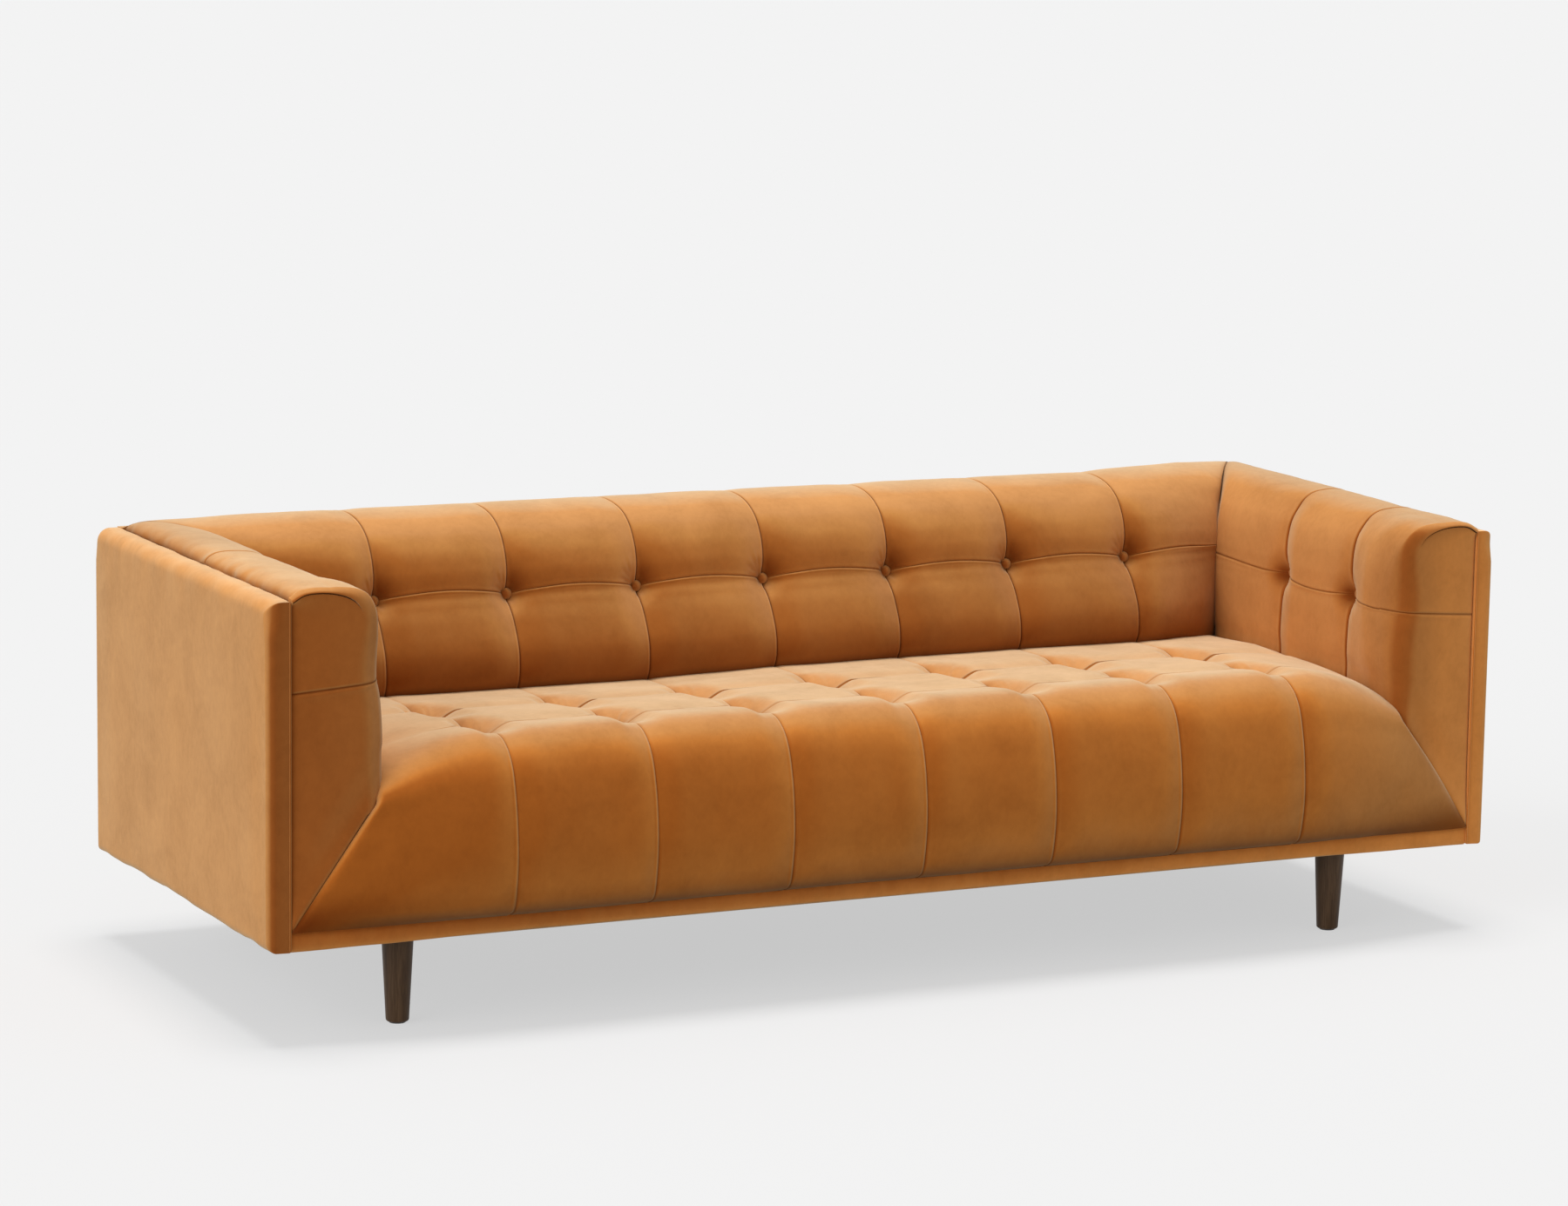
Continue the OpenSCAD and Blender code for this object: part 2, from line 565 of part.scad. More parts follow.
// Stands a button on a surface point, with its axis along the normal.
module on_surface(p, n) {
  translate(p) rotate([0, acos(n[2]), atan2(n[1], n[0])]) children();
}
module seat_buttons() {
  color(colour_front)
    for (k = [-seam_count : seam_count], v = seat_tuft_shares)
      let (n = seat_normal(v)) on_surface(seat_point(k, v) + n * button_seat, n) button();
}
module back_buttons() {
  color(colour_front)
    for (k = [-seam_count : seam_count])
      let (n = back_normal(back_tuft_share))
      on_surface(back_point(k, back_tuft_share) + n * back_button_seat, n) button();
}
module arm_buttons() {
  color(colour_front)
    for (side = [0, 1], y = [arm_seam_a, arm_seam_b])
      let (n = arm_normal(arm_tuft_share))
      mirror([side, 0, 0]) on_surface(arm_side_point(y, arm_tuft_share) + n * arm_button_seat, n) button();
}

// Outer panels: a cover folded round a board, with the board's inner face bare.
module panel_outline(inset_by, corner) {
  difference() {
    translate([front_y + inset_by, floor_gap + inset_by])
      square([body_d - 2 * inset_by, side_h - 2 * inset_by]);
    translate([rear_y - inset_by - corner, side_top - inset_by - corner])
      difference() {
        square(corner + cut);
        circle(r = corner, $fn = round_fn);
      }
  }
}
module upright(depth) {
  rotate([90, 0, 90]) linear_extrude(depth) children();
}
module board_outline() { panel_outline(skin_t, side_r - skin_t / 2); }
module side_board() {
  color(colour_board) translate([side_x, 0, 0]) upright(panel_t - skin_t) board_outline();
}
module side_cover() {
  color(colour_cover)
    difference() {
      translate([side_x, 0, 0]) upright(panel_t) panel_outline(0, side_r);
      translate([side_x - cut, 0, 0]) upright(panel_t - skin_t + cut) board_outline();
    }
}
module side_board_right() { side_board(); }
module side_board_left() { mirror([1, 0, 0]) side_board(); }
module side_cover_right() { side_cover(); }
module side_cover_left() { mirror([1, 0, 0]) side_cover(); }

module rear_board() {
  color(colour_board)
    translate([skin_t - side_x, back_y, floor_gap + skin_t])
      cube([2 * (side_x - skin_t), panel_t - skin_t, side_h - 2 * skin_t]);
}
module rear_cover() {
  color(colour_cover)
    difference() {
      translate([-side_x, back_y, floor_gap]) cube([2 * side_x, panel_t, side_h]);
      translate([skin_t - side_x, back_y - cut, floor_gap + skin_t])
        cube([2 * (side_x - skin_t), panel_t - skin_t + cut, side_h - 2 * skin_t]);
    }
}

// The band is padded: its front swells between two soft edges.
band_swell_share = 0.3;
module front_band() {
  swell = band_swell_share * band_t;
  front = front_y + band_set;
  steps = 8;
  outline = concat(
    [[rail_y, floor_gap], [rail_y, floor_gap + band_h]],
    [for (i = [0 : steps])
      let (t = 1 - i / steps) [front + swell * pow(2 * t - 1, 4), floor_gap + band_h * t]]);
  color(colour_front) translate([-side_x, 0, 0]) upright(2 * side_x) polygon(outline);
}

// Frame
module beam(low, high) {
  translate(low) cube(high - low);
}
module both_sides() {
  for (side = [0, 1]) mirror([side, 0, 0]) children();
}
inner_front_y = rail_y + rail_t;
inner_rear_y = back_y - rail_t;
leg_x = body_w / 2 - leg_inset_x;
leg_front_y = front_y + leg_inset_y;
leg_rear_y = rear_y - leg_inset_y;

bolt_in_rail = 32;
frame_bolt_len = rail_t + bolt_in_rail;
frame_head_r = 2 * bolt_r;
frame_head_h = bolt_r;
frame_bolt_inset = 20;
frame_bolt_places = [
  for (y = [rail_y + rail_t / 2, back_y - rail_t / 2])
    for (z = [frame_z + frame_bolt_inset, rail_top - frame_bolt_inset]) [y, z]];
module frame_bolt(gap) {
  rotate([0, -90, 0]) {
    cylinder(h = frame_bolt_len + gap, r = bolt_r + gap, $fn = round_fn);
    cylinder(h = frame_head_h + gap, r = frame_head_r + gap, $fn = round_fn);
  }
}
module all_frame_bolts(gap) {
  both_sides()
    for (p = frame_bolt_places) translate([side_x - soft_gap + gap, p[0], p[1]]) frame_bolt(gap);
}
module frame_bolts() { color(colour_steel) all_frame_bolts(0); }

module front_rail() {
  color(colour_wood)
    difference() {
      beam([-post_x, rail_y, frame_z], [post_x, inner_front_y, rail_top]);
      all_frame_bolts(bolt_gap);
    }
}
module rear_rail() {
  color(colour_wood)
    difference() {
      beam([-post_x, inner_rear_y, frame_z], [post_x, back_y, rail_top]);
      all_frame_bolts(bolt_gap);
    }
}
module front_posts() {
  color(colour_wood)
    difference() {
      both_sides() beam([post_x, rail_y, frame_z], [side_x, rail_y + post_w, top_rail_low]);
      all_frame_bolts(bolt_gap);
      both_sides() translate([side_x, 0, 0]) bolt_mouths();
    }
}
module rear_posts() {
  color(colour_wood)
    difference() {
      both_sides() beam([post_x, back_y - post_w, frame_z], [side_x, back_y, top_rail_low]);
      all_frame_bolts(bolt_gap);
      both_sides() translate([side_x, 0, 0]) bolt_mouths();
    }
}
// Opens each bolt's counterbore to the post's outer face.
module bolt_mouths() {
  for (p = frame_bolt_places)
    translate([cut, p[0], p[1]]) rotate([0, -90, 0])
      cylinder(h = frame_head_h + cut, r = frame_head_r + bolt_gap, $fn = round_fn);
}
module end_rail() {
  color(colour_wood)
    beam([post_x, rail_y + post_w, frame_z], [side_x, back_y - post_w, rail_top + strap_t]);
}
module end_rail_right() { end_rail(); }
module end_rail_left() { mirror([1, 0, 0]) end_rail(); }
module arm_tack_rails() {
  color(colour_wood)
    both_sides()
      beam([post_x, rail_y + post_w, arm_tack_z], [side_x, back_y - post_w, arm_tack_z + tack_h]);
}
module arm_top_rail() {
  color(colour_wood) beam([arm_rail_x, rail_y, top_rail_low], [side_x, back_y, top_rail_z]);
}
module arm_top_rail_right() { arm_top_rail(); }
module arm_top_rail_left() { mirror([1, 0, 0]) arm_top_rail(); }
stretcher_drop = 10;
module seat_stretchers() {
  color(colour_wood)
    both_sides()
      translate([2 * pitch, 0, 0])
        beam([-rail_t / 2, inner_front_y, frame_z], [rail_t / 2, inner_rear_y, rail_top - stretcher_drop]);
}

// The ribs stand on the rear rail and carry the back's slope. They are notched for the tack rail.
rib_throat_y = max(tack_y + rail_t, seat_rear + 2 * soft_gap);
rib_outline = [
  [back_y - rail_t, rail_top], [back_y, rail_top], [back_y, top_rail_low], [top_rail_y, top_rail_low],
  [tack_y, tack_z + tack_h], [tack_y, tack_z], [rib_throat_y, tack_z]];
module back_ribs() {
  color(colour_board)
    difference() {
      both_sides()
        for (x = [2 * pitch - rib_t / 2, arm_rail_x - rib_t])
          translate([x, 0, 0]) upright(rib_t) polygon(rib_outline);
      beam([-side_x, tack_y - cut, tack_z], [side_x, tack_y + rail_t, tack_z + tack_h]);
    }
}
module back_tack_rail() {
  color(colour_wood) beam([-arm_rail_x, tack_y, tack_z], [arm_rail_x, tack_y + rail_t, tack_z + tack_h]);
}
module back_top_rail() {
  color(colour_wood) beam([-arm_rail_x, top_rail_y, top_rail_low], [arm_rail_x, back_y, top_rail_z]);
}
corner_leg = 60;
module corner_blocks() {
  color(colour_board)
    both_sides()
      for (flip_y = [false, true])
        translate([post_x, flip_y ? inner_rear_y : inner_front_y, frame_z])
          linear_extrude(rail_h / 2)
            polygon([[0, 0], [-corner_leg, 0], [0, flip_y ? -corner_leg : corner_leg]]);
}
module leg_blocks() {
  color(colour_board)
    difference() {
      both_sides()
        for (y = [inner_front_y, inner_rear_y - block_w])
          translate([leg_x - block_w / 2, y, frame_z]) cube([block_w, block_w, block_t]);
      at_legs() translate([0, 0, frame_z - cut])
        cylinder(h = block_t + 2 * cut, r = nut_r + bolt_gap, $fn = round_fn);
    }
}

// Webbing
function strap_places(low, high, count) = [for (i = [0 : count - 1]) mix(low, high, (i + 0.5) / count)];
cross_count = 4;
module seat_webbing() {
  cross_low = inner_front_y + strap_w;
  cross_high = tack_y;
  color(colour_strap) {
    for (x = strap_places(-panel_half * pitch, panel_half * pitch, 2 * panel_half))
      translate([x, 0, rail_top])
        beam([-strap_w / 2, rail_y + strap_t, 0], [strap_w / 2, back_y - strap_t, strap_t]);
    for (y = strap_places(cross_low, cross_high, cross_count))
      translate([0, y, rail_top + strap_t])
        beam([strap_t - side_x, -strap_w / 2, 0], [side_x - strap_t, strap_w / 2, strap_t]);
  }
}
function strip(line) = concat(line, [for (i = [len(line) - 1 : -1 : 0]) line[i] - [strap_t, 0]]);
module back_webbing() {
  color(colour_strap)
    for (x = strap_places(-panel_half * pitch, panel_half * pitch, 2 * panel_half))
      translate([x - strap_w / 2, 0, 0]) upright(strap_w) polygon(strip(strap_line));
}
module arm_webbing() {
  middles = [mix(0, arm_seam_a, 0.75), mix(arm_seam_a, arm_seam_b, 0.5), mix(arm_seam_b, corner_y, 0.5)];
  color(colour_strap)
    both_sides()
      for (y = middles)
        translate([0, front_y + y + strap_w / 2, 0]) rotate([90, 0, 0]) linear_extrude(strap_w)
          polygon(strip(arm_strap_line));
}
module dust_cover() {
  color(colour_dust)
    difference() {
      beam([-side_x, rail_y, floor_gap], [side_x, back_y, frame_z]);
      at_legs() translate([0, 0, floor_gap - cut])
        cylinder(h = dust_t + 2 * cut, r = bolt_r + bolt_gap, $fn = round_fn);
    }
}

// Legs, each with its bolt, tee nut and glide
nut_r = bolt_r + 1;
nut_flange_r = 2.5 * bolt_r;
nut_flange_t = 1.5;
bolt_in_leg = 36;
module at_legs() {
  for (x = [-leg_x, leg_x], y = [leg_front_y, leg_rear_y]) translate([x, y, 0]) children();
}
module leg(x, y) {
  top_r = leg_top_d / 2;
  foot_r = leg_foot_d / 2;
  steps = 6;
  outline = concat(
    [[0, glide_t], [foot_r - leg_edge_r, glide_t]],
    [for (i = [1 : steps]) let (a = 90 * i / steps)
      [foot_r - leg_edge_r + leg_edge_r * sin(a), glide_t + leg_edge_r * (1 - cos(a))]],
    [[top_r, floor_gap], [0, floor_gap]]);
  color(colour_leg)
    translate([x, y, 0])
      difference() {
        rotate_extrude($fn = round_fn) polygon(outline);
        translate([0, 0, floor_gap - bolt_in_leg - bolt_gap])
          cylinder(h = bolt_in_leg + cut, r = bolt_r + bolt_gap, $fn = round_fn);
      }
}
module leg_front_left() { leg(-leg_x, leg_front_y); }
module leg_front_right() { leg(leg_x, leg_front_y); }
module leg_rear_left() { leg(-leg_x, leg_rear_y); }
module leg_rear_right() { leg(leg_x, leg_rear_y); }
module leg_bolts() {
  color(colour_steel)
    at_legs() translate([0, 0, floor_gap - bolt_in_leg])
      cylinder(h = bolt_in_leg + dust_t + block_t + nut_flange_t, r = bolt_r, $fn = round_fn);
}
module tee_nuts() {
  top = frame_z + block_t;
  barrel = block_t / 2;
  color(colour_steel)
    at_legs()
      difference() {
        union() {
          translate([0, 0, top]) cylinder(h = nut_flange_t, r = nut_flange_r, $fn = round_fn);
          translate([0, 0, top - barrel]) cylinder(h = barrel, r = nut_r, $fn = round_fn);
        }
        translate([0, 0, top - barrel - cut])
          cylinder(h = barrel + nut_flange_t + 2 * cut, r = bolt_r + bolt_gap, $fn = round_fn);
      }
}
module glides() {
  color(colour_steel) at_legs() cylinder(h = glide_t, r = glide_d / 2, $fn = round_fn);
}

seat_cover();
back_cover();
arm_cover_left();
arm_cover_right();
seat_foam();
back_foam();
arm_foam_left();
arm_foam_right();
seat_buttons();
back_buttons();
arm_buttons();
side_cover_left();
side_cover_right();
side_board_left();
side_board_right();
rear_cover();
rear_board();
front_band();
dust_cover();
front_rail();
rear_rail();
end_rail_left();
end_rail_right();
seat_stretchers();
front_posts();
rear_posts();
arm_top_rail_left();
arm_top_rail_right();
arm_tack_rails();
back_ribs();
back_top_rail();
back_tack_rail();
corner_blocks();
leg_blocks();
seat_webbing();
back_webbing();
arm_webbing();
leg_front_left();
leg_front_right();
leg_rear_left();
leg_rear_right();
leg_bolts();
tee_nuts();
glides();
frame_bolts();
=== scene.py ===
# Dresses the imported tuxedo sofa: tufted velvet covers, padded panels, covered buttons, wood legs.
# Lengths are in millimetres up to mesh_object, which makes metres of them.
import math
from types import SimpleNamespace

import bpy
import numpy as np
from mathutils import Matrix, Vector


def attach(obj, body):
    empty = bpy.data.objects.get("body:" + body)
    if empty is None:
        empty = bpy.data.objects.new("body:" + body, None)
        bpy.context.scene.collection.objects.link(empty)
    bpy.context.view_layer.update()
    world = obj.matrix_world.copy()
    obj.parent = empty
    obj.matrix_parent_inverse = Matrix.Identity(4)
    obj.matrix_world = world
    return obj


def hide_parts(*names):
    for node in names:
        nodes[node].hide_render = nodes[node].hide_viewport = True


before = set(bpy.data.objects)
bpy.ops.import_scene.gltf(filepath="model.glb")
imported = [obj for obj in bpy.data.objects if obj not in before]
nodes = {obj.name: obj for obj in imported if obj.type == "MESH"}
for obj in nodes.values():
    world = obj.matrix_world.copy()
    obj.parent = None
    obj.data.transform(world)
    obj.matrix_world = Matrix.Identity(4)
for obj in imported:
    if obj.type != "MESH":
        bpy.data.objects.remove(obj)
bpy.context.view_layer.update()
BODY = "root"
MM = 0.001

# Camera, from the photograph's calibration: degrees and metres
AZIMUTH, ELEVATION, ROLL = -25.974, 9.201, 0.891
CAMERA_AT = (-3.5528, -7.1949, 1.871)
LENS, SENSOR, SEES_TO = 110.93, 36, 300


def link(obj):
    bpy.context.scene.collection.objects.link(obj)
    return obj


def make_camera():
    az, el, roll = (math.radians(a) for a in (AZIMUTH, ELEVATION, ROLL))
    back = Vector((math.sin(az) * math.cos(el), -math.cos(az) * math.cos(el), math.sin(el)))
    level = Vector((math.cos(az), math.sin(az), 0))
    upright = back.cross(level)
    right = level * math.cos(roll) + upright * math.sin(roll)
    up = upright * math.cos(roll) - level * math.sin(roll)
    data = bpy.data.cameras.new("Camera")
    data.lens, data.sensor_width, data.clip_end = LENS, SENSOR, SEES_TO
    camera = link(bpy.data.objects.new("Camera", data))
    camera.matrix_world = Matrix.Translation(CAMERA_AT) @ Matrix((right, up, back)).transposed().to_4x4()
    bpy.context.scene.camera = camera


make_camera()

# Sizes of the CAD model
FRONT, REAR = -397.0, 453.0  # of the side panels
SIDE = 1069.0  # the side panels' inner faces
ARM_IN = 930.0  # the arms' inner faces
PAD_W = SIDE - ARM_IN
BACK_THICK = 31.0
BACK_Y = REAR - BACK_THICK  # the outside back's inner face
FLOOR_GAP, SIDE_TOP = 150.0, 695.0
PANEL_H = SIDE_TOP - FLOOR_GAP
SEAT_BASE, SEAT_H = 182.5, 460.0
RAIL_Y = FRONT + 14.0
ARM_TOP, BACK_TOP, TOP_RAIL = 708.0, 724.0, 668.0
# The seams of seat and back: their step, how many on each side of the middle one, and the cover's end
PITCH, SEAMS, HALF = 237.5, 3, 4
END_SEAM = SEAMS * PITCH
PANEL_ENDS = [k * PITCH for k in range(-HALF, HALF + 1)]
TUFTS = range(-SEAMS, SEAMS + 1)
ROLL_OUT, SEAT_D = 47.0, 650.0  # how far the seat reaches before and behind the panels' front
# From the front: the back's face, where arm and back meet, and the arm's two seams
BACK_IN, BACK_D = 520.0, 299.0
CORNER = 620.0
ARM_A, ARM_B = 178.0, 394.0
ARM_R = 52.0
GAP = 0.5
MITRE_GAP = 0.2


# Curves and noise
def mix(a, b, t):
    return a + (b - a) * t


def smooth(a, b, x):
    """From 0 at a to 1 at b, level at both."""
    t = np.clip((x - a) / (b - a), 0, 1)
    return t * t * (3 - 2 * t)


def fall(a, b, x):
    """From 1 at a to 0 at b."""
    return 1 - smooth(a, b, x)


def hump(x, width):
    """1 at 0, and nearly 0 from twice the width."""
    return np.exp(-((x / width) ** 2))


def fade(x, length):
    """1 at 0, and a third of what is left after each length."""
    return np.exp(-x / length)


def beside(x, below, above):
    """1 about 0, and 0 far off; each side has its own start and end of the fall."""
    return np.where(x < 0, fall(*below, -x), fall(*above, x))


def round_off(d, width, power=2.2):
    """From 0 at a seam to 1 at the distance width and beyond."""
    return 1 - (1 - np.clip(np.abs(d) / width, 0, 1)) ** power


def pull(d, flat, reach):
    """How much a button pulls in at the distance d: 1 up to flat, 0 from reach."""
    s = np.clip((d - flat) / (reach - flat), 0, 1)
    return (1 - s) ** 2 * (1 + s / 2)


def groove(d, depth, width):
    return -depth * hump(d, width)


def seam_line(d, depth=1.7, width=1.5):
    """A sewn seam seen in section at the signed distance d: a narrow valley, with the folded
    allowance as a low ridge on its positive side."""
    return groove(d, depth, width) + (0.55 * hump(d - 4.2, 2.4) + 0.2 * hump(d + 4, 2.6))


def together(*parts):
    return np.stack(parts, axis=-1)


def along(points, v):
    """A smooth curve through points, at v; a whole v is one of the points."""
    points = np.asarray(points, float)
    v = np.asarray(v, float)
    n = len(points) - 1
    i = np.clip(np.floor(v).astype(int), 0, n - 1)
    t = (v - i)[..., None]
    a, b = points[np.maximum(i - 1, 0)], points[i]
    c, d = points[i + 1], points[np.minimum(i + 2, n)]
    return (2 * b + (c - a) * t + (2 * a - 5 * b + 4 * c - d) * t**2 + (3 * b - a - 3 * c + d) * t**3) / 2


def heading(points, v, step=0.05):
    d = along(points, np.minimum(v + step, len(points) - 1)) - along(points, np.maximum(v - step, 0))
    return d / np.linalg.norm(d, axis=-1, keepdims=True)


def lengths(points, count=4000):
    """v and the length along the curve up to it."""
    v = np.linspace(0, len(points) - 1, count)
    p = along(points, v)
    return v, np.concatenate([[0], np.cumsum(np.linalg.norm(np.diff(p, axis=0), axis=1))])


def spread(stops, fine=0.7, coarse=5.0, growth=1.28):
    """Positions from the first stop to the last, close together beside every stop."""
    out = []
    for a, b in zip(stops[:-1], stops[1:]):
        half = (b - a) / 2
        steps, d, step = [0.0], 0.0, fine
        while d + step < half:
            d += step
            steps.append(d)
            step = min(step * growth, coarse)
        steps = np.array(steps) * half / (d + step / 2)
        out += [a + s for s in steps] + [b - s for s in steps[:0:-1]]
    return np.array(out + [stops[-1]])


def noise(p, seed):
    """Smooth noise from -1 to 1 at points p, whose features are one unit wide."""
    cell = np.floor(p).astype(np.int64)
    f = p - cell
    f = f * f * f * (f * (f * 6 - 15) + 10)
    total = np.zeros(p.shape[:-1])
    for corner in range(2 ** p.shape[-1]):
        weight = np.ones(p.shape[:-1])
        key = np.full(p.shape[:-1], seed * 7919 + 17, np.int64)
        for axis in range(p.shape[-1]):
            bit = (corner >> axis) & 1
            weight = weight * (f[..., axis] if bit else 1 - f[..., axis])
            key = (key * 1664525 + (cell[..., axis] + bit) * 1013904223 + 374761393) & 0x7FFFFFFF
            key = key ^ (key >> 13)
        key = (key * 1274126177) & 0x7FFFFFFF
        total += weight * ((key ^ (key >> 15)) % 100003 / 50001.5 - 1)
    return total


def waves(a, b, *layers):
    """Noise over a surface at the places a and b; a layer is (size along a, along b, seed, height)."""
    return sum(noise(together(a / wide, b / long), seed) * height for wide, long, seed, height in layers)


# Meshes
# the level of the painted shade attribute where no shade or light is painted
NEUTRAL_SHADE = 0.6


def mesh_object(name, points, faces, sharp=55, shade=None):
    """A smooth mesh; shade is the painted shade and light at each point, 1 is plain."""
    mesh = bpy.data.meshes.new(name)
    mesh.from_pydata([tuple(p) for p in np.asarray(points) * MM], [], faces)
    mesh.validate()
    mesh.polygons.foreach_set("use_smooth", [True] * len(mesh.polygons))
    mesh.set_sharp_from_angle(angle=math.radians(sharp))
    mesh.update()
    layer = mesh.attributes.new("shade", "FLOAT", "POINT")
    values = np.full(len(mesh.vertices), NEUTRAL_SHADE)
    if shade is not None:
        values[: np.size(shade)] = NEUTRAL_SHADE * np.ravel(shade)
    layer.data.foreach_set("value", values)
    return link(bpy.data.objects.new(name, mesh))


def flipped(faces):
    return [f[::-1] for f in faces]


def shifted(faces, start):
    return [[start + i for i in f] for f in faces]


def grid_faces(columns, rows, start=0, turned=False):
    i, j = np.meshgrid(np.arange(columns - 1), np.arange(rows - 1), indexing="ij")
    a = (start + i * rows + j).ravel()
    quads = np.stack([a, a + rows, a + rows + 1, a + 1], axis=1)
    return (quads[:, ::-1] if turned else quads).tolist()


def revolve(profile, segments):
    """A body of revolution about Z from (radius, height) pairs."""
    turns = np.arange(segments) * 2 * math.pi / segments
    points, faces = [], []
    for r, z in profile:
        if r == 0:
            points.append(np.array([[0, 0, z]], float))
        else:
            points.append(together(r * np.cos(turns), r * np.sin(turns), np.full(segments, float(z))))
    starts = np.cumsum([0] + [len(ring) for ring in points])
    for k in range(len(profile) - 1):
        a, b = starts[k], starts[k + 1]
        for i in range(segments):
            j = (i + 1) % segments
            if profile[k][0] == 0:
                faces.append([a, b + j, b + i])
            elif profile[k + 1][0] == 0:
                faces.append([a + i, a + j, b])
            else:
                faces.append([a + i, a + j, b + j, b + i])
    return np.concatenate(points), faces


def sheet_mesh(name, outer, inner, picks, shade, turned=False):
    """A closed padded sheet: a fine outer grid, a coarse inner one under the columns picks, and
    their edges."""
    columns, rows = outer.shape[:2]
    start = columns * rows
    faces = grid_faces(columns, rows) + grid_faces(len(picks), rows, start, True)
    last_out, last_in = (columns - 1) * rows, start + (len(picks) - 1) * rows
    for j in range(rows - 1):
        faces.append([j, j + 1, start + j + 1, start + j])
        faces.append([last_out + j, last_in + j, last_in + j + 1, last_out + j + 1])
    for k in range(len(picks) - 1):
        low = start + k * rows
        high = low + rows - 1
        for i in range(picks[k], picks[k + 1]):
            faces.append([low, (i + 1) * rows, i * rows])
            faces.append([high, i * rows + rows - 1, (i + 1) * rows + rows - 1])
        faces.append([low, low + rows, picks[k + 1] * rows])
        faces.append([high, picks[k + 1] * rows + rows - 1, high + rows])
    points = np.concatenate([outer.reshape(-1, 3), inner.reshape(-1, 3)])
    return mesh_object(name, points, flipped(faces) if turned else faces, shade=shade)


# Materials. Noise is given as scale, detail, roughness and distortion, bump as height, strength
# and distance in metres, and the paint as the shader's inputs and its bumps.
def plain_tree(owner):
    owner.use_nodes = True
    owner.node_tree.nodes.clear()
    return owner.node_tree


def feed(tree, socket, value):
    if isinstance(value, bpy.types.NodeSocket):
        tree.links.new(value, socket)
    else:
        socket.default_value = value


def put(tree, node, **inputs):
    """Sets or links the node's inputs; _ stands for a space."""
    for key, value in inputs.items():
        feed(tree, node.inputs[key.replace("_", " ")], value)


def add(tree, kind, settings=None, **inputs):
    node = tree.nodes.new(kind)
    for key, value in (settings or {}).items():
        setattr(node, key, value)
    put(tree, node, **inputs)
    return node


def object_place(tree, scale=(1, 1, 1)):
    place = add(tree, "ShaderNodeTexCoord").outputs["Object"]
    return add(tree, "ShaderNodeMapping", Vector=place, Scale=scale).outputs["Vector"]


def noise_node(tree, vector, scale, detail, rough, distortion=0.0):
    return add(tree, "ShaderNodeTexNoise", Vector=vector, Scale=scale, Detail=detail, Roughness=rough,
               Distortion=distortion).outputs["Fac"]


def math_node(tree, operation, *values):
    node = add(tree, "ShaderNodeMath", {"operation": operation})
    for socket, value in zip(node.inputs, values):
        feed(tree, socket, value)
    return node.outputs[0]


def weighed(tree, *parts):
    """The sum of parts, each a value and its weight."""
    total = None
    for value, weight in parts:
        part = math_node(tree, "MULTIPLY", value, weight)
        total = part if total is None else math_node(tree, "ADD", total, part)
    return total


def times(tree, a, b):
    settings = {"data_type": "RGBA", "blend_type": "MULTIPLY"}
    return add(tree, "ShaderNodeMix", settings, Factor=1.0, A=a, B=b).outputs["Result"]


def ramp(tree, value, stops):
    node = add(tree, "ShaderNodeValToRGB", Fac=value)
    elements = node.color_ramp.elements
    while len(elements) < len(stops):
        elements.new(0.5)
    for element, (place, colour) in zip(elements, stops):
        element.position = place
        element.color = (*colour, 1)
    return node.outputs["Color"]


def tint(colour, factor):
    return tuple(c * factor for c in colour)


def make_material(name, paint, *values):
    """A material from paint, which gives the shader's inputs and the bumps, the coarsest first."""
    material = bpy.data.materials.new(name)
    tree = plain_tree(material)
    shader = add(tree, "ShaderNodeBsdfPrincipled")
    add(tree, "ShaderNodeOutputMaterial", Surface=shader.outputs["BSDF"])
    inputs, bumps = paint(tree, *values)
    put(tree, shader, **inputs)
    normal = None
    for height, strength, distance in bumps:
        node = add(tree, "ShaderNodeBump", Height=height, Strength=strength, Distance=distance)
        if normal is not None:
            put(tree, node, Normal=normal)
        normal = node.outputs["Normal"]
    put(tree, shader, Normal=normal)
    return material


# What the painted shade and light leave of the colour, and the patches of a stroked nap
PAINTED_SHADE_RAMP = [(0.0, (0.072, 0.036, 0.014)), (0.3, (0.3, 0.225, 0.155)),
              (NEUTRAL_SHADE, (0.6, 0.6, 0.6)), (1.0, (1.0, 0.95, 0.82))]
MOTTLE = [(0.34, (0.86, 0.84, 0.81)), (0.53, (1, 1, 1)), (0.7, (1.1, 1.12, 1.13))]
NAP = (1, 1, 0.7)
SHEEN_TINT = (1.0, 0.8, 0.55, 1)


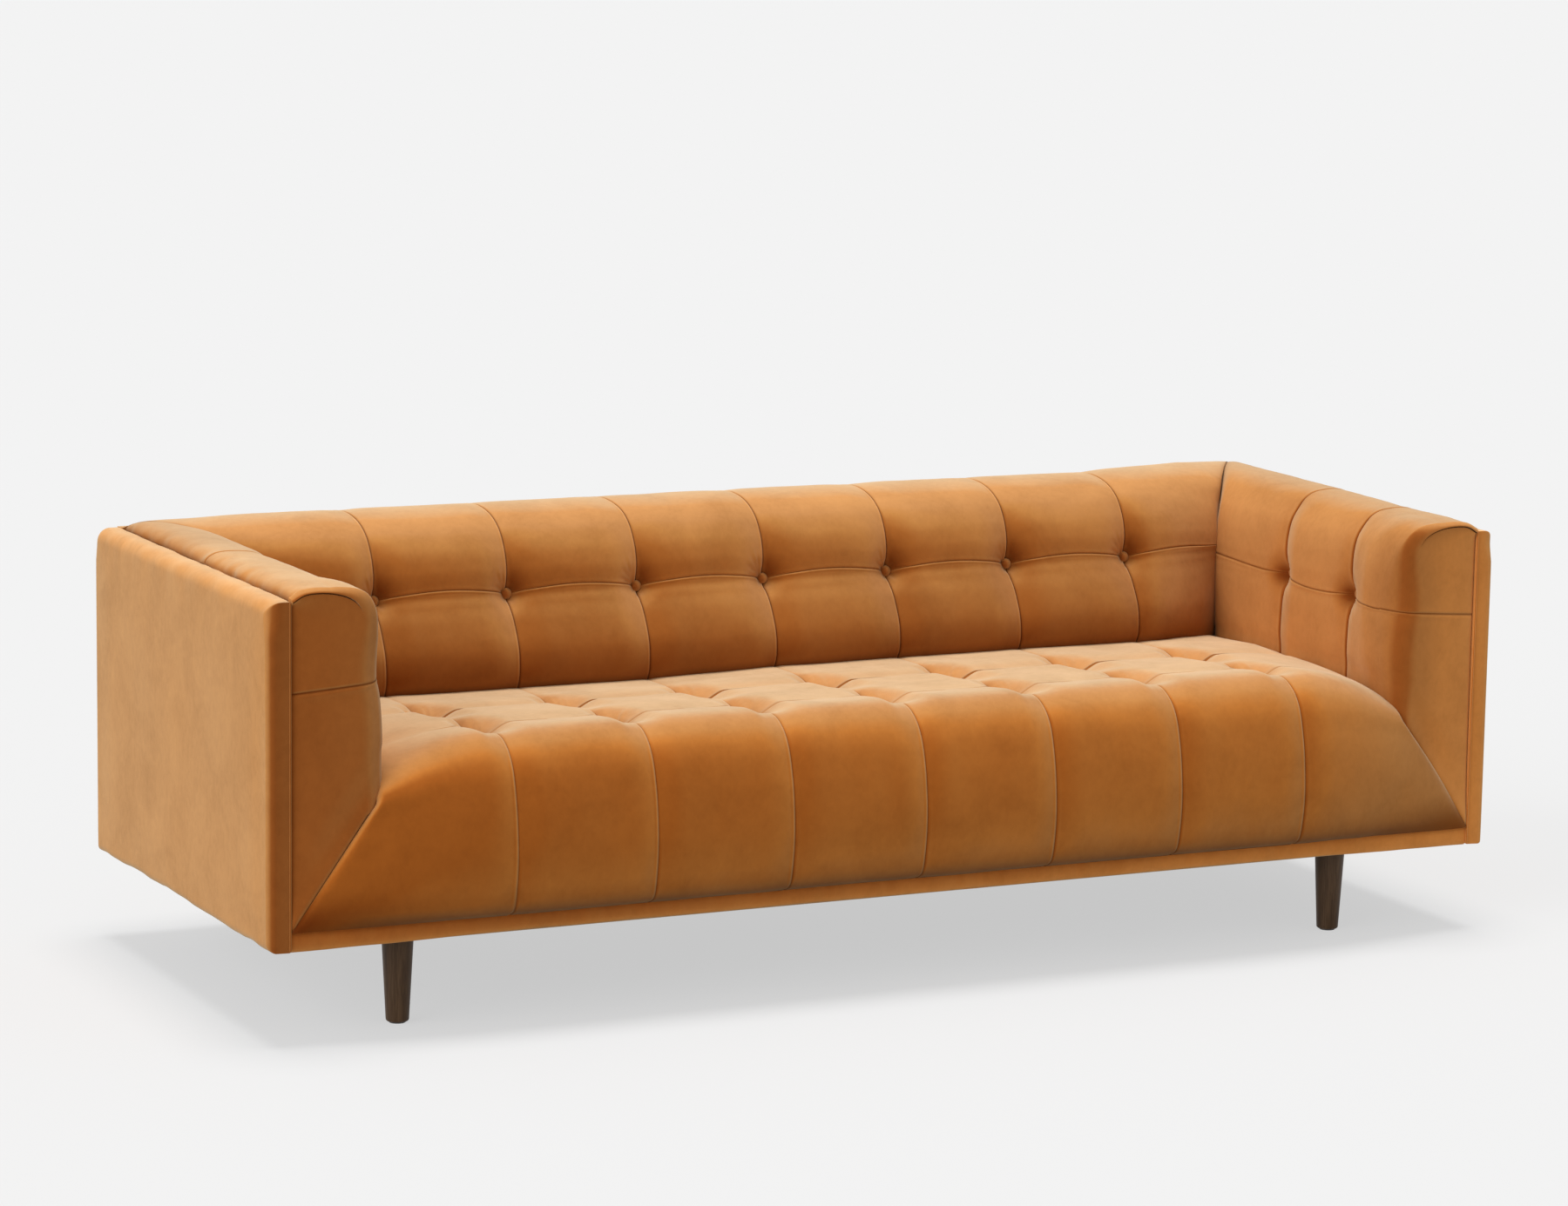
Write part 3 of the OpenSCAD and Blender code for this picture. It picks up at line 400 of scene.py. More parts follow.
def velvet(tree, colours, sheen=0.13):
    """Velvet with a painted sheen: darkest where it faces the eye, lighter and paler where it turns away;
    the shade attribute adds painted shade and light and scales the sheen.
    """
    plain = object_place(tree)
    patches = noise_node(tree, plain, 9, 4, 0.6, 0.6)
    strokes = noise_node(tree, object_place(tree, NAP), 95, 3, 0.65, 0.4)
    fibre = noise_node(tree, plain, 1500, 2, 0.6)
    soft = noise_node(tree, plain, 26, 3, 0.5)
    # the facing gives a painted sheen, the shade attribute painted shade and light
    turn = add(tree, "ShaderNodeLayerWeight", Blend=0.5).outputs["Facing"]
    painted_shade = add(tree, "ShaderNodeAttribute", {"attribute_name": "shade"}).outputs["Fac"]
    mottle = ramp(tree, weighed(tree, (patches, 0.6), (strokes, 0.3), (fibre, 0.15)), MOTTLE)
    shaded_colour = times(tree, mottle, ramp(tree, painted_shade, PAINTED_SHADE_RAMP))
    shaded_sheen = math_node(tree, "MINIMUM", math_node(tree, "MULTIPLY", painted_shade, sheen / NEUTRAL_SHADE), sheen)
    return {
        "Base_Color": times(tree, ramp(tree, turn, list(zip(TURNS, colours))), shaded_colour),
        "Roughness": 0.95, "Specular_IOR_Level": 0.1,
        "Sheen_Weight": shaded_sheen, "Sheen_Roughness": 0.35, "Sheen_Tint": SHEEN_TINT,
    }, [(soft, 0.25, 0.003), (strokes, 0.2, 0.0008), (fibre, 0.35, 0.0003)]


def leg_wood(tree):
    bands = noise_node(tree, object_place(tree, (1, 1, 0.045)), 60, 5, 0.6, 0.8)
    pores = noise_node(tree, object_place(tree, (1, 1, 0.02)), 620, 2, 0.6)
    stain = [(0.32, (0.04, 0.02, 0.009)), (0.5, (0.085, 0.045, 0.02)), (0.68, (0.15, 0.085, 0.043))]
    colour = ramp(tree, weighed(tree, (bands, 0.7), (pores, 0.3)), stain)
    relief = [(bands, 0.2, 0.0006), (pores, 0.35, 0.0004)]
    return {"Base_Color": colour, "Roughness": 0.45, "Specular_IOR_Level": 0.22}, relief


def plain_wood(tree, colour, grain_axis, plies=False):
    scale = [1.0, 1.0, 1.0]
    scale[grain_axis] = 0.06
    bands = noise_node(tree, object_place(tree, scale), 38, 5, 0.62, 0.9)
    value = bands
    if plies:
        wave = add(tree, "ShaderNodeTexWave", {"wave_type": "BANDS", "bands_direction": "Y"},
                   Vector=object_place(tree), Scale=110.0, Distortion=1.2)
        value = weighed(tree, (bands, 0.7), (wave.outputs["Fac"], 0.3))
    stops = [(0.3, tint(colour, 0.72)), (0.5, colour), (0.72, tint(colour, 1.18))]
    return {"Base_Color": ramp(tree, value, stops), "Roughness": 0.7}, [(bands, 0.3, 0.0006)]


def foam(tree):
    cells = add(tree, "ShaderNodeTexVoronoi", {"feature": "F1"}, Vector=object_place(tree), Scale=700.0)
    depth = cells.outputs["Distance"]
    stops = [(0.0, (0.6, 0.52, 0.34)), (0.5, (0.8, 0.73, 0.53)), (1.0, (0.88, 0.82, 0.64))]
    return {"Base_Color": ramp(tree, depth, stops), "Roughness": 0.95}, [(depth, 0.6, 0.0008)]


def webbing(tree, colour):
    light, plain, dark = ((*tint(colour, k), 1) for k in (1.5, 1, 0.5))
    weave = add(tree, "ShaderNodeTexBrick", Vector=object_place(tree), Scale=260.0, Color1=light,
                Color2=plain, Mortar=dark).outputs
    return {"Base_Color": weave["Color"], "Roughness": 0.85}, [(weave["Fac"], 0.5, 0.0005)]


def speckled(tree, dark, light, roughness, form, strength, distance):
    """A surface that goes from dark to light over a fine noise."""
    specks = noise_node(tree, object_place(tree), *form)
    colour = ramp(tree, specks, [(0.3, dark), (0.7, light)])
    return {"Base_Color": colour, "Roughness": roughness}, [(specks, strength, distance)]


def metal(tree, colour, rough):
    brushed = noise_node(tree, object_place(tree, (1, 1, 8)), 300, 3, 0.6)
    shine = math_node(tree, "MULTIPLY_ADD", brushed, 0.2, rough)
    colour = ramp(tree, brushed, [(0.3, tint(colour, 0.85)), (0.7, colour)])
    return {"Base_Color": colour, "Metallic": 1.0, "Roughness": shine}, [(brushed, 0.15, 0.0002)]


# The velvet's colours from facing the eye to edge on: a painted sheen, paler where it turns away
TURNS = [0, 0.06, 0.17, 0.3, 0.57, 0.84, 1]
VELVET = [
    (0.573, 0.161, 0.026), (0.6, 0.177, 0.0316), (0.78, 0.301, 0.0747), (0.833, 0.355, 0.107),
    (0.887, 0.396, 0.119), (0.933, 0.576, 0.3), (0.973, 0.664, 0.393)]
# the seat's copy, with the light and shade that fall on the seat painted in
SEAT_PAINTED_LIGHT_VELVET = [
    (0.6, 0.165, 0.0195), (0.645, 0.178, 0.0222), (0.84, 0.289, 0.0515), (0.84, 0.355, 0.0975),
    (0.85, 0.418, 0.166), (0.93, 0.605, 0.335), (0.98, 0.695, 0.435)]
# the back's copy, with the light and shade that fall on the back painted in
BACK_PAINTED_LIGHT_VELVET = [
    (0.58, 0.183, 0.03), (0.608, 0.203, 0.0375), (0.775, 0.332, 0.087), (0.82, 0.373, 0.123),
    (0.887, 0.413, 0.14), *VELVET[-2:]]
FRAME_WOOD, BLACK_PLASTIC, BLACK_CLOTH = (0.55, 0.38, 0.22), (0.08, 0.08, 0.08), (0.008, 0.008, 0.009)
MATERIALS = {
    "velvet": ("Velvet", velvet, VELVET),
    # the seat's and the back's velvet carry painted light and shade; the buttons' is darker, painted shade
    # of their dimples
    "seat": ("SeatVelvet", velvet, SEAT_PAINTED_LIGHT_VELVET),
    "back": ("BackVelvet", velvet, BACK_PAINTED_LIGHT_VELVET),
    "button": ("ButtonVelvet", velvet, [tint(c, 0.9) for c in VELVET], 0.1),
    "leg": ("LegWood", leg_wood),
    "rail": ("FrameWood", plain_wood, FRAME_WOOD, 0),
    "post": ("PostWood", plain_wood, FRAME_WOOD, 2),
    "board": ("Plywood", plain_wood, (0.5, 0.36, 0.21), 1, True),
    "foam": ("Foam", foam),
    "strap": ("Webbing", webbing, (0.05, 0.047, 0.043)),
    "dust": ("DustCloth", speckled, BLACK_CLOTH, (0.035, 0.035, 0.037), 0.9, (900, 3, 0.7), 0.5, 0.0005),
    "steel": ("Steel", metal, (0.6, 0.6, 0.58), 0.3),
    "glide": ("GlidePlastic", speckled, tint(BLACK_PLASTIC, 0.8), BLACK_PLASTIC, 0.5, (1200, 2, 0.6),
              0.2, 0.0003),
}
MATERIALS = {key: make_material(*form) for key, form in MATERIALS.items()}


def finish_piece(obj, node, material="velvet"):
    obj.data.materials.append(MATERIALS[material])
    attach(obj, BODY)
    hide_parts(node)


# What the seat and the back share. c counts panels from the middle, v the points of the outline,
# and s is the length along it.
def mitre_y(x):
    return FRONT + mix(CORNER, BACK_Y - FRONT, (x - ARM_IN) / PAD_W)


def mitre_x(y):
    return ARM_IN + PAD_W * (y - FRONT - CORNER) / (BACK_Y - FRONT - CORNER)


def square_to(seam, v, side=1):
    """The direction square to a seam's outline at v."""
    d = side * heading(seam, v)
    return together(np.zeros(np.shape(v)), d[..., 1], -d[..., 0])


def panel_places(c):
    """The nearest seam, the distance from it, the distance to the cover's end, and whether the
    nearest line is a seam and not that end."""
    near = np.clip(np.round(c), -SEAMS, SEAMS)
    return near, (c - near) * PITCH, (HALF - np.abs(c)) * PITCH, np.abs(c) < SEAMS + 0.5


def panel_base(c, v, seam, edge):
    """Where the cover lies before it is padded, and how far into an end panel each point is."""
    t = np.maximum(0, np.abs(c) - SEAMS)
    e = along(edge, v)
    x = np.where(t == 0, c * PITCH, np.sign(c) * mix(END_SEAM, e[..., 0], t))
    yz = mix(along(seam, v), e[..., 1:], (t**2)[..., None])
    return together(x, yz[..., 0], yz[..., 1]), t


def core_grid(core, end_x, end_y, end_z):
    """The inner grid's columns: one end, the two end seams and the other end."""
    ends = [together(sign * end_x, end_y, end_z) for sign in (-1, 1)]
    middle = [together(np.full(len(core), sign * END_SEAM), core[:, 0], core[:, 1]) for sign in (-1, 1)]
    return np.array([ends[0], *middle, ends[1]])


def core_picks(c_columns):
    seams = [int(np.argmin(np.abs(c_columns - k))) for k in (-SEAMS, SEAMS)]
    return [0, *seams, len(c_columns) - 1]


def folds_at(dx, dy, folds, size, start, width):
    """Folds that run out from a tuft, each given as its angle in degrees and its length."""
    out = np.zeros_like(dx)
    for angle, reach in folds:
        turn = math.radians(angle)
        run = dx * math.cos(turn) + dy * math.sin(turn)
        side = -dx * math.sin(turn) + dy * math.cos(turn)
        side = side + 0.004 * run**2 * math.sin(angle * 3.1)
        wide = width * (0.7 + 0.6 * np.clip(run / reach, 0, 1))
        strength = size * smooth(0, start, run) * fall(0.5 * reach, reach, run)
        out += strength * (hump(side, wide) - 0.7 * hump(side - 1.9 * wide, wide))
    return out


def add_folds(out, near, dx, dy, within, pleats, form):
    """Adds the folds of every tuft to out; pleats lists the tufts and their folds."""
    for place, folds in pleats:
        mask = (near == place) & (np.hypot(dx, dy) < within)
        out[mask] += folds_at(dx[mask], dy[mask], folds, *form)


def add_buttons(lift, near, dx, ds, from_seam, sewn, form):
    """Pulls a cover in at a row of buttons, with folds round them and seams through them."""
    r = np.hypot(dx, ds)
    lift -= form.depth * pull(r, *PULL) + 4.0 * pull(r, *PULL_CORE)
    add_folds(lift, near, dx, ds, FOLD_REACH, form.pleats, form.folds)
    quiet = 1 - 0.7 * smooth(0.8, 1.0, pull(r, *PULL_WIDE))
    lift += seam_line(form.ridge * dx) * quiet * sewn + seam_line(from_seam, *form.line) * quiet


# How near and how far a button pulls, deep at its core and wide round it, and how far folds reach
PULL, PULL_CORE, PULL_WIDE, FOLD_REACH = (8.0, 46.0), (8.0, 22.0), (9.0, 66.0), 80

# Seat: v runs from the rear over the front roll at 6 to the front's bottom at 14
SEAT_SEAM_SHARES = [
    [1, 0.905], [0.77, 0.905], [0.65, 0.915], [0.52, 0.928], [0.36, 0.95],
    [0.19, 0.97], [0.07, 1], [0.01, 0.955], [-0.43, 0.85], [-0.77, 0.68],
    [-0.95, 0.5], [-1, 0.33], [-0.9, 0.17], [-0.7, 0.05], [-0.2, 0]]
SEAT_EDGE_SHARES = [
    [1, 0.875], [0.77, 0.895], [0.65, 0.885], [0.52, 0.875], [0.36, 0.86],
    [0.19, 0.825], [0.07, 0.77], [0.015, 0.73]]
SEAT_CORE_SHARES = [
    [1, 0.73], [0.77, 0.73], [0.65, 0.73], [0.52, 0.73], [0.36, 0.73],
    [0.19, 0.73], [0.09, 0.73], [0.045, 0.715], [0.01, 0.66], [-0.13, 0.575],
    [-0.26, 0.465], [-0.28, 0.33], [-0.24, 0.17], [-0.17, 0.05], [0.003, 0]]
# The front's sloping ends, beside the arms
SEAT_SLOPE_SHARES = [0.02, 0.17, 0.33, 0.5, 0.67, 0.84, 1]
SLOPE_TOP_SHARE, SLOPE_OUT_SHARE, SLOPE_BULGE = 0.706, 0.1, 7.0
CORE_END_SHARE = 0.62


def seat_place(s):
    return [FRONT + (s[0] * ROLL_OUT if s[0] < 0 else s[0] * SEAT_D), mix(SEAT_BASE, SEAT_H, s[1])]


SLOPE_HIGH = (ARM_IN, mix(SEAT_BASE, SEAT_H, SLOPE_TOP_SHARE))
SLOPE_LOW = (SIDE, SEAT_BASE)
SEAT_SEAM = [seat_place(s) for s in SEAT_SEAM_SHARES]
SEAT_CORE = [seat_place(s) for s in SEAT_CORE_SHARES]
SEAT_EDGE = [[ARM_IN - GAP, *seat_place(s)] for s in SEAT_EDGE_SHARES]
for share in SEAT_SLOPE_SHARES:
    SEAT_EDGE.append([
        mix(SLOPE_HIGH[0], SLOPE_LOW[0], share) - GAP,
        FRONT - SLOPE_OUT_SHARE * ROLL_OUT,
        max(mix(SLOPE_HIGH[1], SLOPE_LOW[1], share) - 3 * GAP, SEAT_BASE)])
SEAT_V, SEAT_S = lengths(SEAT_SEAM)
SEAT_TUFTS = (3, 5)
SEAT_TUFT_S = [np.interp(v, SEAT_V, SEAT_S) for v in SEAT_TUFTS]

SEAT_CROWN = ([0, 2, 3, 5, 6, 8, 12, 14], [7, 10, 11, 12, 10, 6, 4, 0.5])
# How much of the crown is lost along the seams that run from back to front, and at each row of tufts
SEAT_VALLEY = ([0, 1.5, 3, 4, 5, 6], [0.2, 0.3, 0.6, 0.6, 0.8, 1])
SEAT_ROW_LOSS = (0.4, 0.1)
# How far the real seat's rear has sunk, along its length
SINK = ([-930, -712, -475, -237, 0, 237, 475, 712, 930], [4.5, 4.5, 5.5, 5.5, -1.5, -2, -2, -1, -1])
# The dimple at a tuft: its depth, and where its sides fall, across and along the panel
BOWL_DEPTH = 20.0
BOWL_ACROSS, BOWL_ALONG = ((14, 42), (6, 58)), ((6, 94), (8, 84))
LIP_ACROSS, TUFT_NEAR = ((20, 42), (12, 60)), ((60, 130), (60, 110))
# How much of the fold behind the tufts is seen in each row
FOLD_SEEN = (1.0, 0.35)
SEAT_PLEATS = [
    [(58, 76), (76, 66), (97, 70)], [(52, 68), (68, 80), (84, 66), (106, 62)], [(64, 84), (92, 68)],
    [(56, 70), (73, 82), (94, 66)], [(61, 80), (83, 68), (101, 64)], [(50, 74), (78, 70), (92, 76)],
    [(66, 68), (85, 80), (103, 64)]]
SEAT_FOLDS = (2.6, 24.0, 2.8)


def seat_crown(c, v, s, dx, to_end):
    rows = np.ones_like(s)
    for tuft_s, loss in zip(SEAT_TUFT_S, SEAT_ROW_LOSS):
        rows = rows * (1 - loss * hump(s - tuft_s, np.where(s > tuft_s, 15, 32)))
    across = 1 - np.interp(v, *SEAT_VALLEY) * (1 - round_off(dx, mix(30, 52, smooth(5.8, 7, v))))
    for tuft_s in SEAT_TUFT_S:
        lip = hump(s - tuft_s - 72, 34) * (s > tuft_s)
        across = mix(across, 1 - beside(dx, *LIP_ACROSS), 0.75 * lip * (np.abs(c) < SEAMS + 0.5))
    return np.interp(v, *SEAT_CROWN) * across * rows * round_off(to_end, mix(45, 12, smooth(5, 6.5, v)))


def seat_lift(c, v, s):
    """How far the seat's cover stands over its outline, and the painted shade and light on it."""
    near, dx, to_end, sewn = panel_places(c)
    bowl, folds, near_tuft = (np.zeros_like(dx) for _ in range(3))
    for row, tuft_s in enumerate(SEAT_TUFT_S):
        ds = s - tuft_s
        bowl = np.maximum(bowl, beside(dx, *BOWL_ACROSS) * beside(ds, *BOWL_ALONG))
        near_tuft = np.maximum(near_tuft, beside(ds, *TUFT_NEAR))
        pleats = [(k, SEAT_PLEATS[(k + SEAMS + 3 * row) % 7]) for k in TUFTS]
        add_folds(folds, near, dx, -ds, 110, pleats, SEAT_FOLDS)
    quiet = 1 - 0.7 * smooth(0.9, 1.0, bowl)
    on_roll = smooth(5.3, 6, v)
    out = seat_crown(c, v, s, dx, to_end) - BOWL_DEPTH * bowl + folds
    out = out + seam_line(-dx, 1.3) * quiet * np.maximum(on_roll, 0.25 + 0.75 * near_tuft) * sewn
    for tuft_s in SEAT_TUFT_S:
        behind = tuft_s - s
        out = out + groove(dx, 5.0, 6.0) * smooth(20, 50, behind) * fall(70, 125, behind) * sewn
    # painted shade along the seams, on the roll and near the tufts
    dark = 0.42 * hump(dx, 1.4) * np.maximum(0.5 * on_roll, near_tuft) * sewn
    for tuft_s, seen in zip(SEAT_TUFT_S, FOLD_SEEN):
        behind = tuft_s - s
        length = seen * fall(110, 160, dx) * smooth(-110, -50, dx)
        out = out + seam_line(behind, 1.8) * quiet * length
        # painted shade in the seam along the tufts, on the wall of the fold behind it, and at the bottom
        # of the pit
        wall = hump(behind - 4, 3.5) * fall(70, 125, dx) * smooth(-20, 12, dx) * seen
        pit = hump(behind - 4, 7) * smooth(-58, -30, dx) * fall(6, 24, dx) * sewn
        dark = np.maximum.reduce([dark, 0.55 * length * hump(behind, 2.0), 0.6 * wall, 0.5 * pit])
    # a painted highlight beside the seams on the roll, painted light on the top, and painted shade in the
    # bowls
    rim = 0.16 * hump(dx + 3.2, 1.6) * on_roll * sewn
    return out, 1 + rim + 0.05 * (1 - on_roll) - np.maximum(dark, 0.2 * smooth(0.5, 1, bowl))


def build_seat():
    stops = [np.interp(1.5, SEAT_V, SEAT_S), *SEAT_TUFT_S, SEAT_S[-1]]
    s_rows = np.concatenate([[0.0, stops[0] * 0.5], spread(stops, coarse=4.5, growth=1.2)])
    v_rows = np.interp(s_rows, SEAT_S, SEAT_V)
    c_columns = spread(PANEL_ENDS, growth=1.12) / PITCH
    c, v = np.meshgrid(c_columns, v_rows, indexing="ij")
    s = np.broadcast_to(s_rows, c.shape)
    base, t = panel_base(c, v, SEAT_SEAM, SEAT_EDGE)
    base[..., 0] += SLOPE_BULGE * np.sin(math.pi * np.clip((v - 8) / 6, 0, 1)) * t**2 * (c > 0)
    x = base[..., 0]
    lift, shade = seat_lift(c, v, s)
    to_end = panel_places(c)[2]
    wave = waves(x, s, (90, 110, 3, 0.9), (35, 45, 4, 0.25)) * smooth(0, 25, to_end)
    outer = base + square_to(SEAT_SEAM, v) * (lift + wave)[..., None]
    outer[..., 2] -= np.interp(x, *SINK) * fall(1.2, 4.6, v)
    outer[..., 2] -= 6 * smooth(0.35, 1, t) * fall(0.2, 1.6, v)
    slope = smooth(7, 8.5, v)
    outer[..., 1] += 3.0 * fade(to_end, 4) * slope
    core, edge = along(SEAT_CORE, v_rows), along(SEAT_EDGE, v_rows)
    end_y = np.where(v_rows < len(SEAT_EDGE_SHARES), core[:, 0], RAIL_Y - 2 * GAP)
    end_z = np.minimum(mix(SEAT_BASE, SEAT_H, CORE_END_SHARE), edge[:, 2])
    inner = core_grid(core, edge[:, 0], end_y, end_z)
    # painted shade toward the bottom and in the joint with the arm, with a painted highlight as a light
    # rim beside that
    shade = shade * (1 - 0.6 * smooth(11.6, 14, v)) * (1 - 0.3 * fade(to_end, 1.2) * slope)
    shade = shade * (1 + 0.08 * hump(to_end - 3.5, 2) * slope)
    obj = sheet_mesh("SeatCover", outer, inner, core_picks(c_columns), shade)
    finish_piece(obj, "seat_cover", "seat")


# Back: v runs from the bottom of its face over the top at 11 to the outside back at 14
BACK_SEAM_SHARES = [
    [0.04, 0], [0, 0.075], [-0.005, 0.16], [0.015, 0.255], [0.075, 0.37],
    [0.14, 0.46], [0.18, 0.535], [0.197, 0.67], [0.23, 0.78], [0.31, 0.89],
    [0.44, 0.97], [0.62, 1], [0.8, 0.985], [0.95, 0.94], [1, 0.895]]
BACK_CORE_SHARES = [
    [0.22, 0], [0.185, 0.095], [0.175, 0.195], [0.195, 0.315], [0.235, 0.455],
    [0.28, 0.565], [0.32, 0.66], [0.345, 0.79], [0.39, 0.9], [0.475, 0.975],
    [0.6, 1], [0.7, 1], [0.82, 1], [0.94, 1], [1, 1]]
# At the mitre: the depth of the upright part, then the last points of the outline
BACK_CORNER_SHARE = 0.36
BACK_EDGE_SHARES = [
    [0.362, 0.62], [0.37, 0.71], [0.39, 0.79], [0.43, 0.86], [0.52, 0.914], [0.69, 0.95],
    [0.87, 0.95], [1, 0.895]]
CORE_END_DEPTH = 0.42
BACK_BASE = mix(SEAT_BASE, SEAT_H, SEAT_SEAM_SHARES[0][1]) + GAP


def back_depth(s):
    return FRONT + BACK_IN + s * BACK_D - (GAP if s == 1 else 0)


def back_edge_place(share):
    y = back_depth(share[0])
    return [mitre_x(y) - MITRE_GAP, y, mix(BACK_BASE, BACK_TOP, share[1])]


UPRIGHT = [[BACK_CORNER_SHARE, s[1]] for s in BACK_SEAM_SHARES[: -len(BACK_EDGE_SHARES)]]
BACK_EDGE = [back_edge_place(s) for s in UPRIGHT + BACK_EDGE_SHARES]
BACK_SEAM = [[back_depth(s[0]), mix(BACK_BASE, BACK_TOP, s[1])] for s in BACK_SEAM_SHARES]
BACK_CORE = [[back_depth(s[0]), mix(BACK_BASE, TOP_RAIL + GAP, s[1])] for s in BACK_CORE_SHARES]
BACK_V, BACK_S = lengths(BACK_SEAM)
BACK_TUFT = 6
BACK_TUFT_S = np.interp(BACK_TUFT, BACK_V, BACK_S)

# How far the seam through the buttons sinks between them
SEAM_RISE = 11.0
# How far the real back's top edge departs from level, along its length
TOP_SHIFT = ([-930, -700, 450, 720, 860, 930], [0, -5, -4.5, -5, 4, 9])
BACK_CROWN = ([0, 2, 6, 8, 10, 11.5, 14], [6, 8, 9, 8, 5, 2, 1.5])
# How much fuller the middle of a panel is
BACK_FILL = ([2, 3, 4, 5, 6, 7, 8, 9, 10], [0, 2, 6, 10, 11, 9, 5, 2, 0])
BACK_PLEATS = [
    [(112, 50), (126, 60), (140, 52), (154, 40), (250, 26)], [(120, 50), (136, 40), (60, 24), (292, 24)],
    [(108, 40), (124, 52), (140, 34)], [(110, 44), (122, 58), (134, 54), (148, 44), (246, 30)]]
BACK_BUTTONS = SimpleNamespace(
    depth=8.0, pleats=[(k, BACK_PLEATS[k % 4]) for k in TUFTS], folds=(2.0, 10.0, 2.8), ridge=-1,
    line=(1.4, 1.3))


def button_painted_shade(across, up):
    """How much painted shade falls round a button, most over its right."""
    right, over = smooth(-4, 8, across), smooth(-5, 5, up)
    corner = 0.62 * hump(across, 30) * hump(up, 42) * right * over
    near = 0.3 * hump(across, 11) * right * over * fall(40, 95, up)
    under = 0.42 * hump(across, 24) * hump(up, 14) * right * (1 - over)
    return np.maximum.reduce([corner, near, under, 0.35 * hump(np.hypot(across, up), 14)])


def back_lift(c, v, s, seam_s):
    """How far the back's cover stands over its outline, and the painted shade and light on it."""
    near, dx, to_end, sewn = panel_places(c)
    ds, from_seam = s - BACK_TUFT_S, BACK_TUFT_S - seam_s
    pinch = 1 - 0.05 * hump(from_seam, 22)
    ends = round_off(to_end, 26)
    lift = np.interp(v, *BACK_CROWN) * round_off(dx, 60) * pinch * ends
    lift += np.interp(v, *BACK_FILL) * round_off(dx, 108, 2) * ends
    add_buttons(lift, near, dx, ds, from_seam, sewn, BACK_BUTTONS)
    # painted shade along the seams and round the buttons, with a painted highlight beside the upright
    # seams
    lines = np.maximum(0.5 * hump(dx, 1.4) * sewn, 0.5 * hump(from_seam, 1.3))
    shade = 1 + 0.2 * hump(dx + 3.4, 1.7) * sewn - np.maximum(lines, button_painted_shade(dx, ds))
    # painted shade: darker at the bottom, below the seam toward the right, and in the joint with the arm;
    # painted light a little over the seam
    shade *= 1 - 0.5 * fall(0, 3.2, v)
    shade *= mix(1 - 0.08 - 0.09 * smooth(0, 2, c), 1.04, smooth(5.5, 7, v))
    return lift, shade * (1 - 0.4 * fade(to_end, 3))


def build_back():
    s_rows = spread([0, BACK_TUFT_S, BACK_S[-1]], growth=1.2)
    v_rows = np.interp(s_rows, BACK_S, BACK_V)
    c_columns = spread(PANEL_ENDS, growth=1.14) / PITCH
    c, seam_s = np.meshgrid(c_columns, s_rows, indexing="ij")
    # the rows follow the seam through the buttons
    a = np.where(np.abs(c) >= HALF, 1.0, c - np.floor(c))
    s = seam_s + SEAM_RISE * np.sin(np.pi * a) ** 1.2 * hump(seam_s - BACK_TUFT_S, 85)
    s = np.where(seam_s >= BACK_S[-1], BACK_S[-1], s)
    v = np.interp(s, BACK_S, BACK_V)
    base, t = panel_base(c, v, BACK_SEAM, BACK_EDGE)
    x = base[..., 0]
    lift, shade = back_lift(c, v, s, seam_s)
    wave = waves(x, s, (80, 90, 13, 0.8), (32, 40, 14, 0.25)) * smooth(0, 25, panel_places(c)[2])
    outer = base + square_to(BACK_SEAM, v, -1) * (lift + wave)[..., None]
    outer[..., 2] -= np.interp(x, *SINK) * fall(0, 2.5, v) + 14 * smooth(0.3, 1, t) * fall(0, 3, v)
    outer[..., 2] += np.interp(x, *TOP_SHIFT) * smooth(8.6, 10.5, v)
    core = along(BACK_CORE, v_rows)
    end_y = np.maximum(core[:, 0], back_depth(CORE_END_DEPTH))
    inner = core_grid(core, mitre_x(end_y) - 2 * GAP, end_y, core[:, 1])
    obj = sheet_mesh("BackCover", outer, inner, core_picks(c_columns), shade, True)
    finish_piece(obj, "back_cover", "back")


# Arms: v runs from the seat up the inner face, over the edge at 9 and the top to the side panel at
# 12. The crease is where the arm's front meets the side panel.
ARM_SEAM_SHARES = [
    [0, 0], [0, 0.19], [-0.015, 0.27], [-0.005, 0.38], [0.02, 0.49], [0.045, 0.555],
    [0.045, 0.67], [0.055, 0.79], [0.12, 0.89], [0.28, 0.965], [0.54, 1], [0.83, 1], [1, 0.965]]
ARM_FRONT_SHARES = [0, 0.17, 0.31, 0.46, 0.62, 0.72, 0.79, 0.86, 0.91, 0.94, 0.96, 0.975, 0.99]
ARM_CORE_SHARES = [
    [0.18, 0], [0.18, 0.18], [0.18, 0.3], [0.19, 0.43], [0.215, 0.56], [0.24, 0.63],
    [0.24, 0.76], [0.25, 0.88], [0.3, 0.94], [0.4, 0.975], [0.56, 1], [0.83, 1], [1, 1]]
ARM_CORE_FRONT_SHARES = [0, 0.18, 0.33, 0.48, 0.64, 0.75, 0.82, 0.89, 0.93, 0.955, 0.975, 0.99, 1]


def arm_place(s, high):
    return [ARM_IN + s[0] * PAD_W - (GAP if s[0] == 1 else 0), mix(SLOPE_HIGH[1], high, s[1])]


